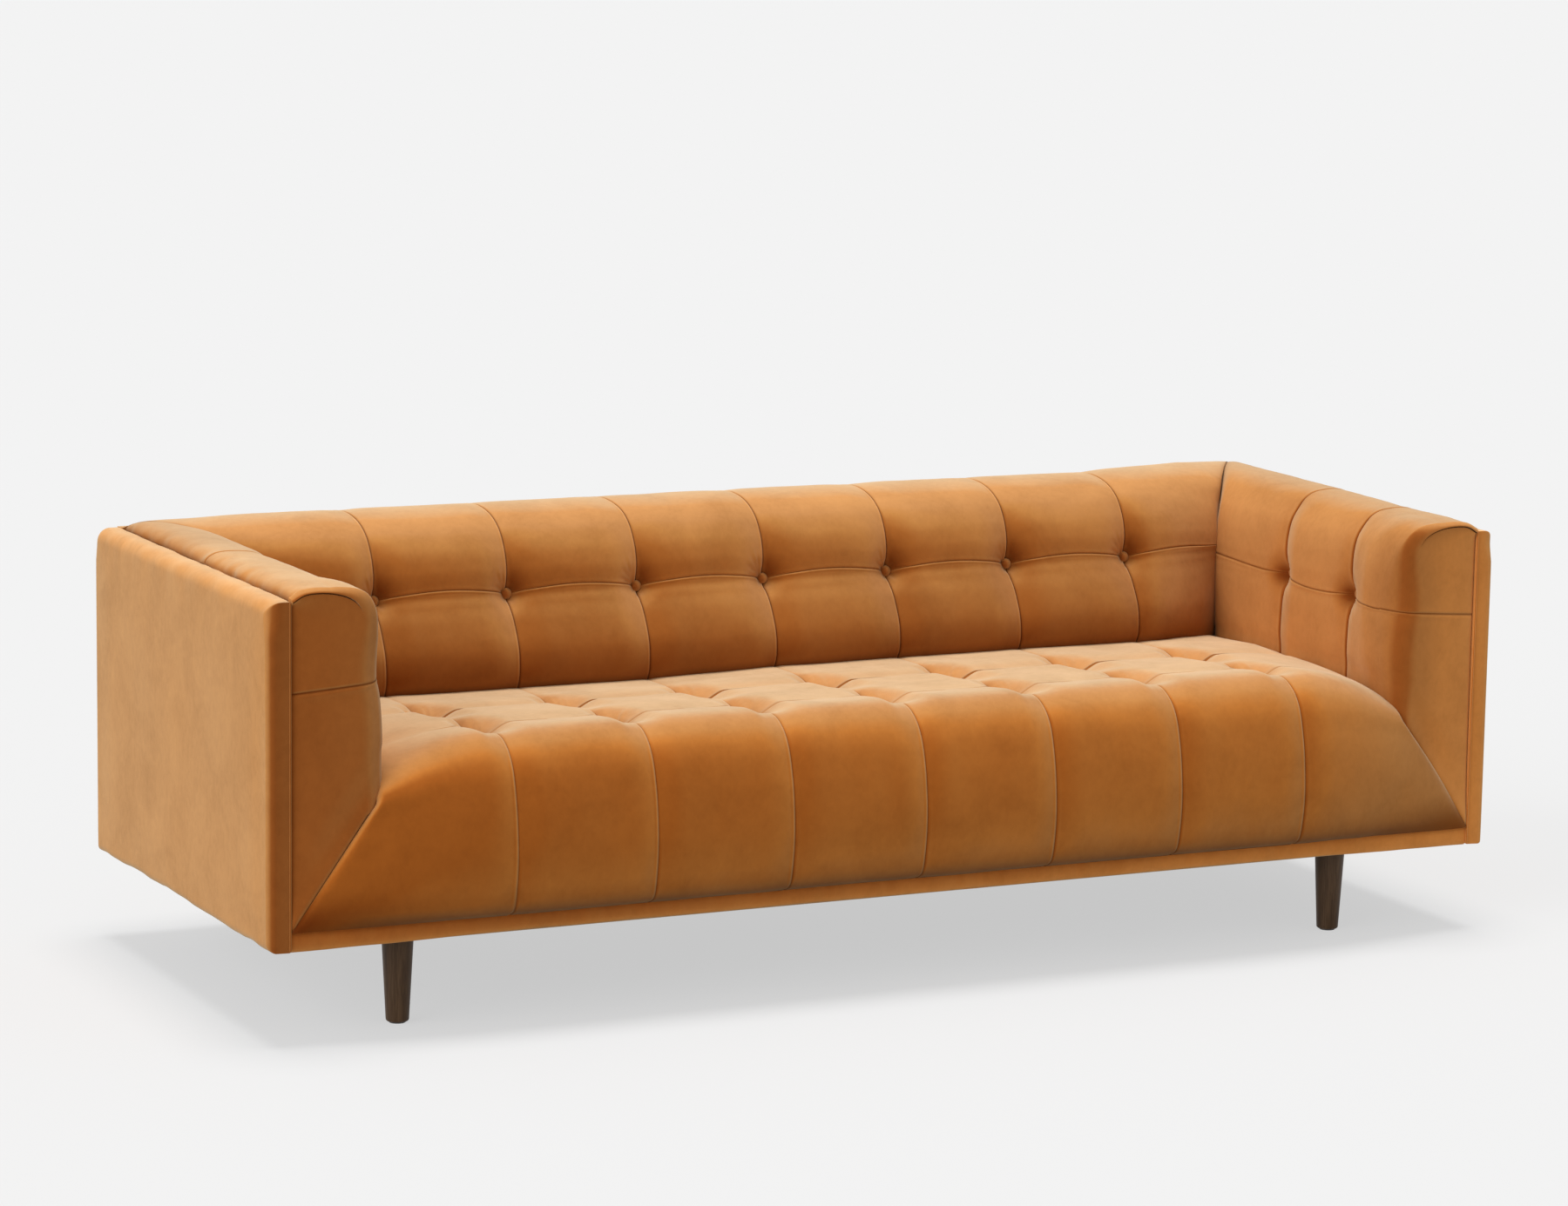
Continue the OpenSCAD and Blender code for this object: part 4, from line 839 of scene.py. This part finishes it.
ARM_SEAM = [arm_place(s, ARM_TOP) for s in ARM_SEAM_SHARES]
ARM_CORE = [arm_place(s, TOP_RAIL + GAP) for s in ARM_CORE_SHARES]
ARM_CREASE = [[SIDE - GAP, mix(SEAT_BASE, SIDE_TOP, s)] for s in ARM_FRONT_SHARES]
ARM_CORE_CREASE = [[SIDE - GAP, mix(SEAT_BASE, TOP_RAIL + GAP, s)] for s in ARM_CORE_FRONT_SHARES]
ARM_V, ARM_S = lengths(ARM_SEAM)
ARM_TUFT = 5
ARM_TUFT_S = np.interp(ARM_TUFT, ARM_V, ARM_S)

# The front face stands back a little, swells, and turns over a lip under the top
ARM_SET, ARM_BULGE = 3.0, 5.0
LIP_OUT, LIP_R, LIP_BACK = 2.0, 3.0, 2.4
LIP_GROOVE = ((1.6, 4.0), (0.8, 4.4), (0.2, 1.6))
FACE_PLACES = [0, 0.012, 0.028, 0.05, 0.08, 0.12, *np.linspace(0.17, 0.94, 16), 0.97, 0.985, 1]
ARM_CROWN = ([0, 5, 7, 8, 9, 10, 11, 12], [9, 9, 8, 9, 8, 5, 5, 5])
ARM_FILL = ([1, 2, 3, 4, 5, 6, 7, 8, 9], [0, 2, 5, 9, 12, 11, 7, 2, 0])
# How much fuller the arm is at its front, along its outline
FRONT_FULL = ([0, 0.4, 8.4, 9.2, 10, 11, 12], [6, 14, 14, 10, 4, 3, 4])
# What the rounded front leaves of the crown by the distance from it: low, high and on the top
CROWN_LOW = ([0, ARM_R, 110], [0.85, 0.9, 1])
CROWN_HIGH = ([0, ARM_R, 110], [0.7, 0.8, 1])
CROWN_TOP = ([0, 20, 110], [0.1, 0.3, 1])
# How much higher the tufts sit toward the rear, and how far one arm's rear top has risen
TUFT_RISE = ([40, ARM_A, ARM_B, CORNER], [0, 6, 11, 9])
SETTLE = ([200, 330, 480, 620], [0, 3.5, 6, 8.5])
ARM_PLEATS = [
    (ARM_A, [(100, 40), (122, 52), (140, 40), (246, 56), (262, 44), (230, 40)]),
    (ARM_B, [(96, 36), (118, 46), (138, 34), (250, 60), (266, 50), (236, 40), (215, 30)])]
ARM_BUTTONS = SimpleNamespace(depth=9.0, pleats=ARM_PLEATS, folds=(1.6, 10.0, 3.2), ridge=1, line=(1.5,))
# Where the arms differ: the painted light and shade on the face, its turn, the top, the top's rear and
# the inner side; whether the front seam crosses the top, and whether the rear top has risen
LEFT_ARM = SimpleNamespace(
    sign=-1, face=1.06, turn=1.06, top=0.05, rear=0.13, inner=0.76, crossing=0.0, risen=0)
RIGHT_ARM = SimpleNamespace(
    sign=1, face=1.42, turn=1.1, top=-0.1, rear=0.0, inner=0.86, crossing=1.0, risen=1)


def arm_normal(v):
    d = heading(ARM_SEAM, v)
    return together(-d[..., 1], d[..., 0])


def tuft_rise(y):
    return np.interp(y, *TUFT_RISE)


def toward_rear(even):
    """From 0 at the rear seam to 1 at the back."""
    return np.clip((even - ARM_B) / (CORNER - ARM_B), 0, 1)


def seam_rise(y, even):
    """Where the arm's long seam runs at depth y, over its place at the front."""
    between = np.clip((y - ARM_A) / (ARM_B - ARM_A), 0, 1)
    ahead = ARM_A - y
    sag = 7 * np.sin(np.pi * between) ** 1.3 + 4 * smooth(0, 60, ahead) * fall(90, 160, ahead)
    return tuft_rise(y) - sag + 12 * toward_rear(even) ** 1.2


def over_slope(point):
    """How far a point of the arm's front lies over the seat's sloping end."""
    run, rise = np.subtract(SLOPE_LOW, SLOPE_HIGH)
    return (point - np.array(SLOPE_HIGH)) @ np.array([-rise, run]) / math.hypot(run, rise)


def slope_tuck(over):
    """How far the arm's front turns in at the seat's sloping end, less its swelling over that."""
    return 3.5 * fade(np.maximum(over, 0), 4.0) - 8.0 * fade(np.maximum(over, 0), 22)


def arm_lift(arm, y, v, s, even, seam_s):
    """Height over the arm's outline at depth y and length s along it, and the painted shade on it."""
    near = np.where(np.abs(y - ARM_A) < np.abs(y - ARM_B), ARM_A, ARM_B)
    dy, ds, from_seam = y - near, s - ARM_TUFT_S - tuft_rise(y), ARM_TUFT_S - seam_s
    to_back = (1 - toward_rear(even)) * (CORNER - ARM_B)
    sewn = np.where(near == ARM_A, mix(1, arm.crossing, smooth(7, 9, v)), 1)
    at_front = mix(np.interp(y, *CROWN_LOW), np.interp(y, *CROWN_HIGH), smooth(3.5, 5, v))
    at_front = mix(at_front, np.interp(y, *CROWN_TOP), smooth(8.5, 9.5, v))
    pinch = 1 - 0.08 * hump(from_seam, 22)
    valley = mix(1, round_off(dy, 60), sewn * fall(8.4, 9.8, v))
    crown = np.interp(v, *ARM_CROWN) * at_front * valley * pinch
    crown = crown + np.interp(v, *ARM_FILL) * round_off(dy, 104, 2) * smooth(20, 120, y)
    lift = crown * round_off(to_back, 26) + np.interp(v, *FRONT_FULL) * fall(45, 150, y)
    add_buttons(lift, near, dy, ds, from_seam, sewn, ARM_BUTTONS)
    # painted shade along the seams, in the dimples, behind the buttons and in the joint with the back
    behind_button = 0.5 * hump(dy, 28) * hump(ds, 24) * smooth(-2, 8, dy)
    dark = np.maximum.reduce([
        0.5 * hump(dy, 1.4) * sewn, 0.5 * hump(from_seam, 1.5), 0.45 * pull(np.hypot(dy, ds), 8, 30),
        behind_button])
    return lift, (1 - dark) * (1 - 0.35 * fade(to_back, 3))


def arm_rows(arm):
    """The arm's outline, row by row, its rounded edge at the front, and the painted shade on its inner
    side.
    """
    s = spread([0, ARM_TUFT_S, ARM_S[-1]])
    v = np.interp(s, ARM_S, ARM_V)
    outline, crease, normal = along(ARM_SEAM, v), along(ARM_CREASE, v), arm_normal(v)
    lip = smooth(8.0, 9.0, v)
    radius = mix(ARM_R, LIP_R, smooth(5.6, 8.9, v))
    to_crease = crease - outline
    to_crease /= np.linalg.norm(to_crease, axis=1, keepdims=True)
    inward = mix(to_crease, -normal, smooth(0, 2.5, v)[:, None])
    inward /= np.linalg.norm(inward, axis=1, keepdims=True)
    narrow = mix(0.5, 1, lip) * radius
    inset = outline + inward * narrow[:, None]
    face_end = inset + inward * (LIP_BACK * lip)[:, None]
    stands = ARM_BULGE * smooth(0, 60, over_slope(face_end)) - slope_tuck(over_slope(face_end))
    return SimpleNamespace(
        s=s, v=v, outline=outline, crease=crease, normal=normal, lip=lip, radius=radius, inward=inward,
        narrow=narrow, inset=inset, face_end=face_end, stands=stands,
        inner=mix(arm.inner, 1, smooth(7.5, 9, v)),
        # seam is the painted shade along the seam through the buttons
        groove=seam_line(ARM_TUFT_S - s, 1.5), seam=1 - 0.5 * hump(s - ARM_TUFT_S, 1.5))


def arm_front(arm, rows):
    """The columns of the front face, of the groove under the lip, and of the rounded edge."""
    for q in FACE_PLACES:
        point = mix(rows.crease, rows.face_end, q)
        from_crease = np.linalg.norm(point - rows.crease, axis=-1)
        over = over_slope(point)
        bulge = ARM_BULGE * round_off(q, 1) * smooth(0, 60, over)
        tuck = 3.0 * fade(from_crease, 3.0) + slope_tuck(over)
        y = FRONT + (ARM_SET - bulge + tuck - rows.groove * smooth(0.0, 0.05, q))
        # painted shade along the seam, in the crease and over the seat's slope, and painted light on the
        # face and its turn
        shade = rows.seam * (1 - 0.3 * fade(from_crease, 1.6)) * (1 - 0.35 * fade(np.maximum(over, 0), 2))
        yield point[:, 0], y, point[:, 1], shade * mix(arm.face, arm.turn, smooth(0.45, 1, q))
    for distance, depth in LIP_GROOVE:
        point = rows.inset + rows.inward * (distance * rows.lip)[:, None]
        y = FRONT + ARM_SET - rows.stands + depth * rows.lip - rows.groove
        # painted shade under the lip
        shade = rows.seam * (1 - 0.65 * rows.lip * smooth(8.3, 9.6, rows.v)) * arm.turn
        yield point[:, 0], y, point[:, 1], shade
    for angle in np.radians(np.linspace(0, 90, 19)):
        cos, sin = math.cos(angle), math.sin(angle)
        depth = rows.radius * (1 - cos) ** 1.3
        lift, shade = arm_lift(arm, depth, rows.v, rows.s, np.zeros_like(rows.v), rows.s)
        point = rows.outline + rows.inward * (rows.narrow * (1 - sin))[:, None]
        point = point + rows.normal * (lift * sin)[:, None]
        push = (rows.stands + LIP_OUT * rows.lip) * cos**2 + rows.groove * cos
        # painted light on the turn, painted shade on the inner side
        shade = shade * mix(arm.turn, rows.inner, sin)
        yield point[:, 0], FRONT + ARM_SET + depth - push, point[:, 1], shade


def arm_length(arm, rows, seed):
    """The columns from the rounded edge back to the mitre."""
    reach = CORNER - 1
    end_y = mitre_y(rows.outline[:, 0]) - FRONT - MITRE_GAP
    from_side = rows.s[-1] - rows.s
    top = smooth(8, 10, rows.v)
    for y0 in spread([ARM_R + 2, ARM_A, ARM_B, reach], coarse=6.0):
        if y0 <= ARM_B:
            # rows whose rounded edge is short start nearer the front
            t = (y0 - ARM_R - 2) / (ARM_A - ARM_R - 2)
            y = np.where(y0 < ARM_A, mix(ARM_SET + rows.radius + 2, ARM_A, min(t, 1)), y0)
            even = y
        else:
            t = (y0 - ARM_B) / (reach - ARM_B)
            y = mix(ARM_B, end_y, t)
            even = np.full_like(rows.v, mix(ARM_B, CORNER, t))
        s = rows.s + seam_rise(y, even) * hump(rows.s - ARM_TUFT_S, 90)
        v = np.interp(s, ARM_S, ARM_V)
        lift, shade = arm_lift(arm, y, v, s, even, rows.s)
        wave = waves(y, s, (85, 90, seed, 0.8), (33, 40, seed + 1, 0.25)) * smooth(0, 20, from_side)
        pucker = waves(y, rows.s, (21, 30, seed + 2, 2.4)) * fade(from_side, 14)
        pucker = pucker - (8 + waves(y, 0 * y, (34, 1, seed + 3, 4))) * fade(from_side, 5)
        point = along(ARM_SEAM, v) + arm_normal(v) * (lift + wave + pucker)[:, None]
        z = point[:, 1] + np.interp(even, *SETTLE) * top * arm.risen
        # painted shade in the valley by the side panel; painted light on the left top and painted shade on
        # the right one; painted shade on the left top's rear and on the inner side near the front
        shade = shade * (1 - 0.4 * fade(from_side, 6)) * (1 + arm.top * smooth(7.5, 9, rows.v))
        shade = shade * (1 - arm.rear * top * smooth(350, 560, y)) * mix(rows.inner, 1, smooth(50, 120, y))
        yield point[:, 0], FRONT + y, z, shade


def build_arm(arm, name, seed, node):
    rows = arm_rows(arm)
    columns = [*arm_front(arm, rows), *arm_length(arm, rows, seed)]
    outer = np.array([together(x, y, z) for x, y, z, _ in columns])
    core, core_crease = along(ARM_CORE, rows.v), along(ARM_CORE_CREASE, rows.v)
    rail = np.full(len(rows.v), RAIL_Y - GAP)
    inner = np.array([
        together(core_crease[:, 0], rail, core_crease[:, 1]),
        together(core[:, 0], rail, core[:, 1]),
        together(core[:, 0], mitre_y(core[:, 0]) - 2 * GAP, core[:, 1])])
    picks = [0, len(FACE_PLACES) + len(LIP_GROOVE), len(outer) - 1]
    outer[..., 0] *= arm.sign
    inner[..., 0] *= arm.sign
    obj = sheet_mesh(name, outer, inner, picks, np.array([shade for *_, shade in columns]), arm.sign < 0)
    finish_piece(obj, node)


# Panels: padded boards. a and b are places across and up the board, d the distance from its edge.
SIDE_THICK, SIDE_CORNER, SIDE_TOP_R = 36.5, 25, 22.0
EDGE_R, SIDE_BACK_R, REAR_BACK_R = 13.0, 3.0, 4.0
NEAR_EDGE = [0, 0.15, 0.5, 1.1, 2, 3.2, 4.8, 6.8, 9.2, 12, 15, 19, 24, 31]
REAR_GAP = 0.3
WELT_R, WELT_OUT, WELT_AHEAD, WELT_SIDES = 1.6, 1.2, 0.2, 10
# Painted shade on the front edge of the left panel, painted light on that of the right panel and on the
# rest
STRIP_LIGHT, PANEL_LIGHT = {-1: 0.9, 1: 1.5}, 1.15


def board_grid(width, height, corner):
    """Places over a board's face, whose upper far corner is round, and their distance to the edge."""
    def places(size):
        middle = np.linspace(40, size - 40, max(int((size - 80) / 14), 2))
        return np.concatenate([NEAR_EDGE, middle, size - np.array(NEAR_EDGE[::-1])])
    a, b = np.meshgrid(places(width), places(height), indexing="ij")
    if corner:
        ca, cb = width - corner, height - corner
        inside = (a > ca) & (b > cb)
        da, db = a - ca, b - cb
        stretch = np.maximum(da, db) / np.maximum(np.hypot(da, db), 1e-9)
        a = np.where(inside, ca + da * stretch, a)
        b = np.where(inside, cb + db * stretch, b)
    d = np.minimum.reduce([a, width - a, b, height - b])
    if corner:
        d = np.where(inside, corner - np.hypot(a - ca, b - cb), d)
    return a, b, np.maximum(d, 0)


def board_mesh(width, height, thick, corner, top_r, inner_r, shape, place):
    a, b, d = board_grid(width, height, corner)
    n, m = a.shape

    def round_over(r):
        k = np.clip(1 - d / r, 0, 1)
        return r * (1 - np.sqrt(np.maximum(0, 1 - k**2)))

    edge = np.where(height - b < 60, mix(top_r, EDGE_R, smooth(20, 60, height - b)), EDGE_R)
    front = place(a, b, thick - round_over(edge) + shape(a, b, d))
    back = place(a, b, round_over(inner_r))
    start = n * m
    faces = grid_faces(n, m) + grid_faces(n, m, start, True)
    loop = [i * m for i in range(n)] + [(n - 1) * m + j for j in range(1, m)]
    loop += [i * m + m - 1 for i in range(n - 2, -1, -1)] + [j for j in range(m - 2, 0, -1)]
    faces += [[q, p, start + p, start + q] for p, q in zip(loop, loop[1:] + loop[:1])]
    return np.concatenate([front.reshape(-1, 3), back.reshape(-1, 3)]), faces


def build_side_panel(sign, name, seed, node):
    def shape(a, b, d):
        wave = waves(a, b, (170, 150, seed, 0.7)) * smooth(0, 40, d)
        high = waves(a, b, (24, 60, seed + 1, 1.2)) * fade(PANEL_H - b, 26) * smooth(0, 8, d)
        low = waves(a, b, (26, 60, seed + 2, 0.6)) * fade(b, 18) * smooth(0, 6, d)
        return wave + high + low + 1.5 * smooth(0, 90, d)

    def place(a, b, h):
        # the loose lower edge, which hangs at the rear, and the uneven upper one
        low = waves(a, h, (45, 60, seed + 3, 3.0)) * fade(b, 25) - 6.0 * smooth(600, 850, a) * fade(b, 60)
        high = waves(a, h, (27, 40, seed + 4, 0.8)) * fade(PANEL_H - b, 16)
        return together(sign * (SIDE + h), FRONT + a, FLOOR_GAP + b + low + high)

    points, faces = board_mesh(
        REAR - FRONT, PANEL_H, SIDE_THICK, SIDE_CORNER, SIDE_TOP_R, SIDE_BACK_R, shape, place)
    if sign < 0:
        faces = flipped(faces)
    heights = np.linspace(FLOOR_GAP + 3, SIDE_TOP - 2, 60)
    welt, welt_faces = revolve([(WELT_R, z) for z in heights], WELT_SIDES)
    ring = list(range(WELT_SIDES))
    welt_faces += [ring[::-1], [len(welt) - WELT_SIDES + i for i in ring]]
    faces += shifted(welt_faces, len(points))
    points = np.concatenate([points, welt + [sign * (SIDE + WELT_OUT), FRONT - WELT_AHEAD, 0]])
    # painted shade and light, from the front edge's to the rest's
    shade = mix(STRIP_LIGHT[sign], PANEL_LIGHT, smooth(0, 16, points[:, 1] - FRONT))
    finish_piece(mesh_object(name, points, faces, 80, shade), node)


def build_rear_panel():
    def shape(a, b, d):
        wave = waves(a, b, (200, 150, 47, 0.7)) * smooth(0, 40, d)
        high = waves(a, b, (19, 60, 48, 0.5)) * fade(PANEL_H - b, 22) * smooth(0, 8, d)
        return wave + high - 1.2 * fall(0, 60, d)

    def place(a, b, h):
        return together(SIDE - REAR_GAP - a, BACK_Y + h, FLOOR_GAP + b)

    width = 2 * (SIDE - REAR_GAP)
    points, faces = board_mesh(width, PANEL_H, BACK_THICK, 0, EDGE_R, REAR_BACK_R, shape, place)
    finish_piece(mesh_object("RearPanel", points, faces, 80), "rear_cover")


# The band under the seat's front: its height, half its thickness, and its painted light from left to right
BAND_H, BAND_HALF, BAND_AHEAD = 32, 6, 2
BAND_LIGHT = (1.35, 1.64)


def build_band():
    x = np.linspace(-SIDE + REAR_GAP, SIDE - REAR_GAP, 420)
    low, high = FLOOR_GAP, FLOOR_GAP + BAND_H
    rows = [(RAIL_Y, high)]
    for t in np.linspace(0, math.pi, 15):
        out = BAND_HALF - BAND_HALF * math.sin(t) ** 0.55
        rows.append((FRONT + BAND_AHEAD + out, (low + high) / 2 + math.cos(t) * BAND_H / 2))
    rows = np.array(rows + [(RAIL_Y, low)])
    at_rail = rows[:, 0] > RAIL_Y - 1
    wave = waves(x, 0 * x, (45, 1, 61, 0.5), (16, 1, 62, 0.25))
    lower = waves(x, 0 * x, (60, 1, 63, 0.6)) + 3.0 * fall(650, 1000, np.abs(x))
    down = np.clip((high - rows[:, 1]) / BAND_H, 0, 1)
    n, m = len(x), len(rows)
    y = rows[:, 0] + np.where(at_rail, 0, wave[:, None])
    z = rows[:, 1] + np.where(at_rail, 0, lower[:, None] * down)
    grid = together(np.broadcast_to(x[:, None], (n, m)), y, z)
    faces = grid_faces(n, m, 0, True)
    faces += [[i * m, i * m + m - 1, (i + 1) * m + m - 1, (i + 1) * m] for i in range(n - 1)]
    faces += [list(range(m)), [(n - 1) * m + j for j in range(m - 1, -1, -1)]]
    # painted light, stronger toward the right
    shade = np.repeat(mix(*BAND_LIGHT, smooth(-1000, 700, x)), m)
    obj = mesh_object("FrontBand", grid.reshape(-1, 3), faces, 60, shade)
    finish_piece(obj, "front_band")


# Buttons
BUTTON_PROFILE = [
    (0, 0), (8.6, 0), (9.9, 0.7), (10.4, 1.9), (10.3, 3.1), (9.5, 4.6), (8.0, 6.0), (6.0, 7.0),
    (3.4, 7.7), (1.4, 7.95), (0, 8)]
# the buttons' size, and the painted shade on them, darker as they sit in their dimples
BUTTON_SIZE, BUTTON_PAINTED_SHADE = 0.92, 0.92
# How deep the buttons' bases lie under the covers' outlines
SEAT_BUTTON_IN, BACK_BUTTON_IN, ARM_BUTTON_IN = 26.0, 10.5, 15.5


def build_buttons(name, places, node, seed):
    rng = np.random.default_rng(seed)
    fine = []
    for (r0, z0), (r1, z1) in zip(BUTTON_PROFILE[:-1], BUTTON_PROFILE[1:]):
        fine += [(mix(r0, r1, t), mix(z0, z1, t)) for t in (0, 0.5)]
    unit, faces = revolve(fine + [BUTTON_PROFILE[-1]], 40)
    r = np.hypot(unit[:, 0], unit[:, 1])
    points, all_faces = [], []
    for k, (at, normal) in enumerate(places):
        tilt = Vector(normal).to_track_quat("Z", "Y").to_matrix()
        angle = np.arctan2(unit[:, 1], unit[:, 0]) + rng.uniform(0, math.tau)
        ripple = 1 + (0.012 * np.sin(7 * angle) + 0.008 * np.sin(11 * angle + 1)) * smooth(6, 10, r)
        local = together(unit[:, 0] * ripple, unit[:, 1] * ripple, unit[:, 2] * rng.uniform(0.94, 1.04))
        points.append(local * BUTTON_SIZE @ np.array(tilt).T + np.array(at))
        all_faces += shifted(faces, k * len(unit))
    points = np.concatenate(points)
    # painted shade over the whole of each button
    obj = mesh_object(name, points, all_faces, 50, np.full(len(points), BUTTON_PAINTED_SHADE))
    finish_piece(obj, node, "button")


def row_places(seam, v, depth, side=1):
    """Where the buttons of a row of tufts lie, and which way they face."""
    n = square_to(seam, v, side)
    return [(np.array([k * PITCH, *along(seam, v)]) - n * depth, n) for k in TUFTS]


def arm_button_places():
    out = []
    for sign in (-1, 1):
        for y in (ARM_A, ARM_B):
            v = np.interp(ARM_TUFT_S + tuft_rise(y), ARM_S, ARM_V)
            (nx, nz), (x, z) = arm_normal(v), along(ARM_SEAM, v)
            n = np.array([sign * nx, 0, nz])
            out.append((np.array([sign * x, FRONT + y, z]) - n * ARM_BUTTON_IN, n))
    return out


# Legs: the foot's rounding over the glide, then a taper to the top
LEG_X, LEG_IN = 857.0, 98
FOOT_R, LEG_TOP_R, FOOT_ROUND, GLIDE_H, LEG_H = 18.5, 26.0, 4, 2, 150


def build_leg(name, x, y, node):
    flat = FOOT_R - FOOT_ROUND
    profile = [(0, GLIDE_H), (10, GLIDE_H), (14.2, GLIDE_H)]
    for a in np.radians(np.linspace(12, 90, 8)):
        profile.append((flat + FOOT_ROUND * math.sin(a), GLIDE_H + FOOT_ROUND * (1 - math.cos(a))))
    for t in np.linspace(0.04, 1, 28):
        profile.append((mix(FOOT_R, LEG_TOP_R, t), mix(GLIDE_H + FOOT_ROUND, LEG_H, t)))
    points, faces = revolve(profile + [(14, LEG_H), (0, LEG_H)], 72)
    obj = mesh_object(name, points + np.array([x, y, 0]), faces, 40)
    finish_piece(obj, node, "leg")


build_seat()
build_back()
build_arm(LEFT_ARM, "ArmCoverLeft", 71, "arm_cover_left")
build_arm(RIGHT_ARM, "ArmCoverRight", 81, "arm_cover_right")
build_side_panel(-1, "SidePanelLeft", 41, "side_cover_left")
build_side_panel(1, "SidePanelRight", 43, "side_cover_right")
build_rear_panel()
build_band()
seat_places = [place for v in SEAT_TUFTS for place in row_places(SEAT_SEAM, v, SEAT_BUTTON_IN)]
build_buttons("SeatButtons", seat_places, "seat_buttons", 5)
build_buttons("BackButtons", row_places(BACK_SEAM, BACK_TUFT, BACK_BUTTON_IN, -1), "back_buttons", 6)
build_buttons("ArmButtons", arm_button_places(), "arm_buttons", 7)
for side, sign in (("left", -1), ("right", 1)):
    for end, y in (("front", FRONT + LEG_IN), ("rear", REAR - LEG_IN)):
        build_leg("Leg" + end.title() + side.title(), sign * LEG_X, y, f"leg_{end}_{side}")

# Materials of the CAD nodes that show as they are, or lie inside
INSIDE = {
    "foam": ["seat_foam", "back_foam", "arm_foam_left", "arm_foam_right"],
    "board": ["side_board_left", "side_board_right", "rear_board", "back_ribs", "corner_blocks",
              "leg_blocks"],
    "rail": ["front_rail", "rear_rail", "back_top_rail", "back_tack_rail"],
    "post": ["front_posts", "rear_posts", "end_rail_left", "end_rail_right", "seat_stretchers",
             "arm_top_rail_left", "arm_top_rail_right", "arm_tack_rails"],
    "strap": ["seat_webbing", "back_webbing", "arm_webbing"],
    "dust": ["dust_cover"],
    "steel": ["leg_bolts", "tee_nuts", "frame_bolts"],
    "glide": ["glides"],
}
for material, names in INSIDE.items():
    for name in names:
        nodes[name].data.materials.clear()
        nodes[name].data.materials.append(MATERIALS[material])

# Floor, world and lights. The background and the floor's glow are what the camera sees, the
# bounce is what lights the sofa from below. A sun has a direction, a strength and an angle.
FLOOR_SIZE = 90
BACKGROUND, WORLD_LIGHT = 0.888, 0.475
FLOOR_GLOW, FLOOR_SHADE, FLOOR_BOUNCE = 0.56, 0.236, 0.33
SUNS = {"Key": ((-1.0, -0.25, 0.45), 1.37, 50), "Top": ((0.02, 0.03, 1.0), 2.44, 24)}


def grey(value):
    return (value, value, value, 1)


def shows_background(tree):
    """1 for the rays that see the pale background: from the camera, off metal and through glass."""
    path = add(tree, "ShaderNodeLightPath").outputs
    other = math_node(tree, "MAXIMUM", path["Is Glossy Ray"], path["Is Transmission Ray"])
    return math_node(tree, "MAXIMUM", path["Is Camera Ray"], other)


def choose(tree, plain, seen):
    """The shader plain, or seen for the rays that see the background."""
    node = add(tree, "ShaderNodeMixShader", Fac=shows_background(tree))
    tree.links.new(plain.outputs[0], node.inputs[1])
    tree.links.new(seen.outputs[0], node.inputs[2])
    return node.outputs[0]


def build_floor():
    mesh = bpy.data.meshes.new("Floor")
    corners = [(x * FLOOR_SIZE, y * FLOOR_SIZE, 0) for x, y in ((-1, -1), (1, -1), (1, 1), (-1, 1))]
    mesh.from_pydata(corners, [], [(0, 1, 2, 3)])
    floor = link(bpy.data.objects.new("Floor", mesh))
    material = bpy.data.materials.new("FloorPaint")
    tree = plain_tree(material)
    glow = add(tree, "ShaderNodeEmission", Color=grey(1), Strength=FLOOR_GLOW)
    shadowed = add(tree, "ShaderNodeBsdfDiffuse", Color=grey(FLOOR_SHADE))
    seen = add(tree, "ShaderNodeAddShader")
    tree.links.new(glow.outputs[0], seen.inputs[0])
    tree.links.new(shadowed.outputs[0], seen.inputs[1])
    bounce = add(tree, "ShaderNodeBsdfDiffuse", Color=grey(FLOOR_BOUNCE))
    add(tree, "ShaderNodeOutputMaterial", Surface=choose(tree, bounce, seen))
    mesh.materials.append(material)


def build_world():
    world = bpy.data.worlds.new("World")
    bpy.context.scene.world = world
    tree = plain_tree(world)
    light = add(tree, "ShaderNodeBackground", Color=grey(1), Strength=WORLD_LIGHT)
    seen = add(tree, "ShaderNodeBackground", Color=grey(BACKGROUND))
    add(tree, "ShaderNodeOutputWorld", Surface=choose(tree, light, seen))
    for name, (direction, strength, angle) in SUNS.items():
        data = bpy.data.lights.new(name, "SUN")
        data.energy, data.angle = strength, math.radians(angle)
        lamp = link(bpy.data.objects.new(name, data))
        lamp.rotation_mode = "QUATERNION"
        lamp.rotation_quaternion = Vector(direction).to_track_quat("Z", "Y")


build_floor()
build_world()
bpy.context.scene.view_settings.view_transform = "Standard"
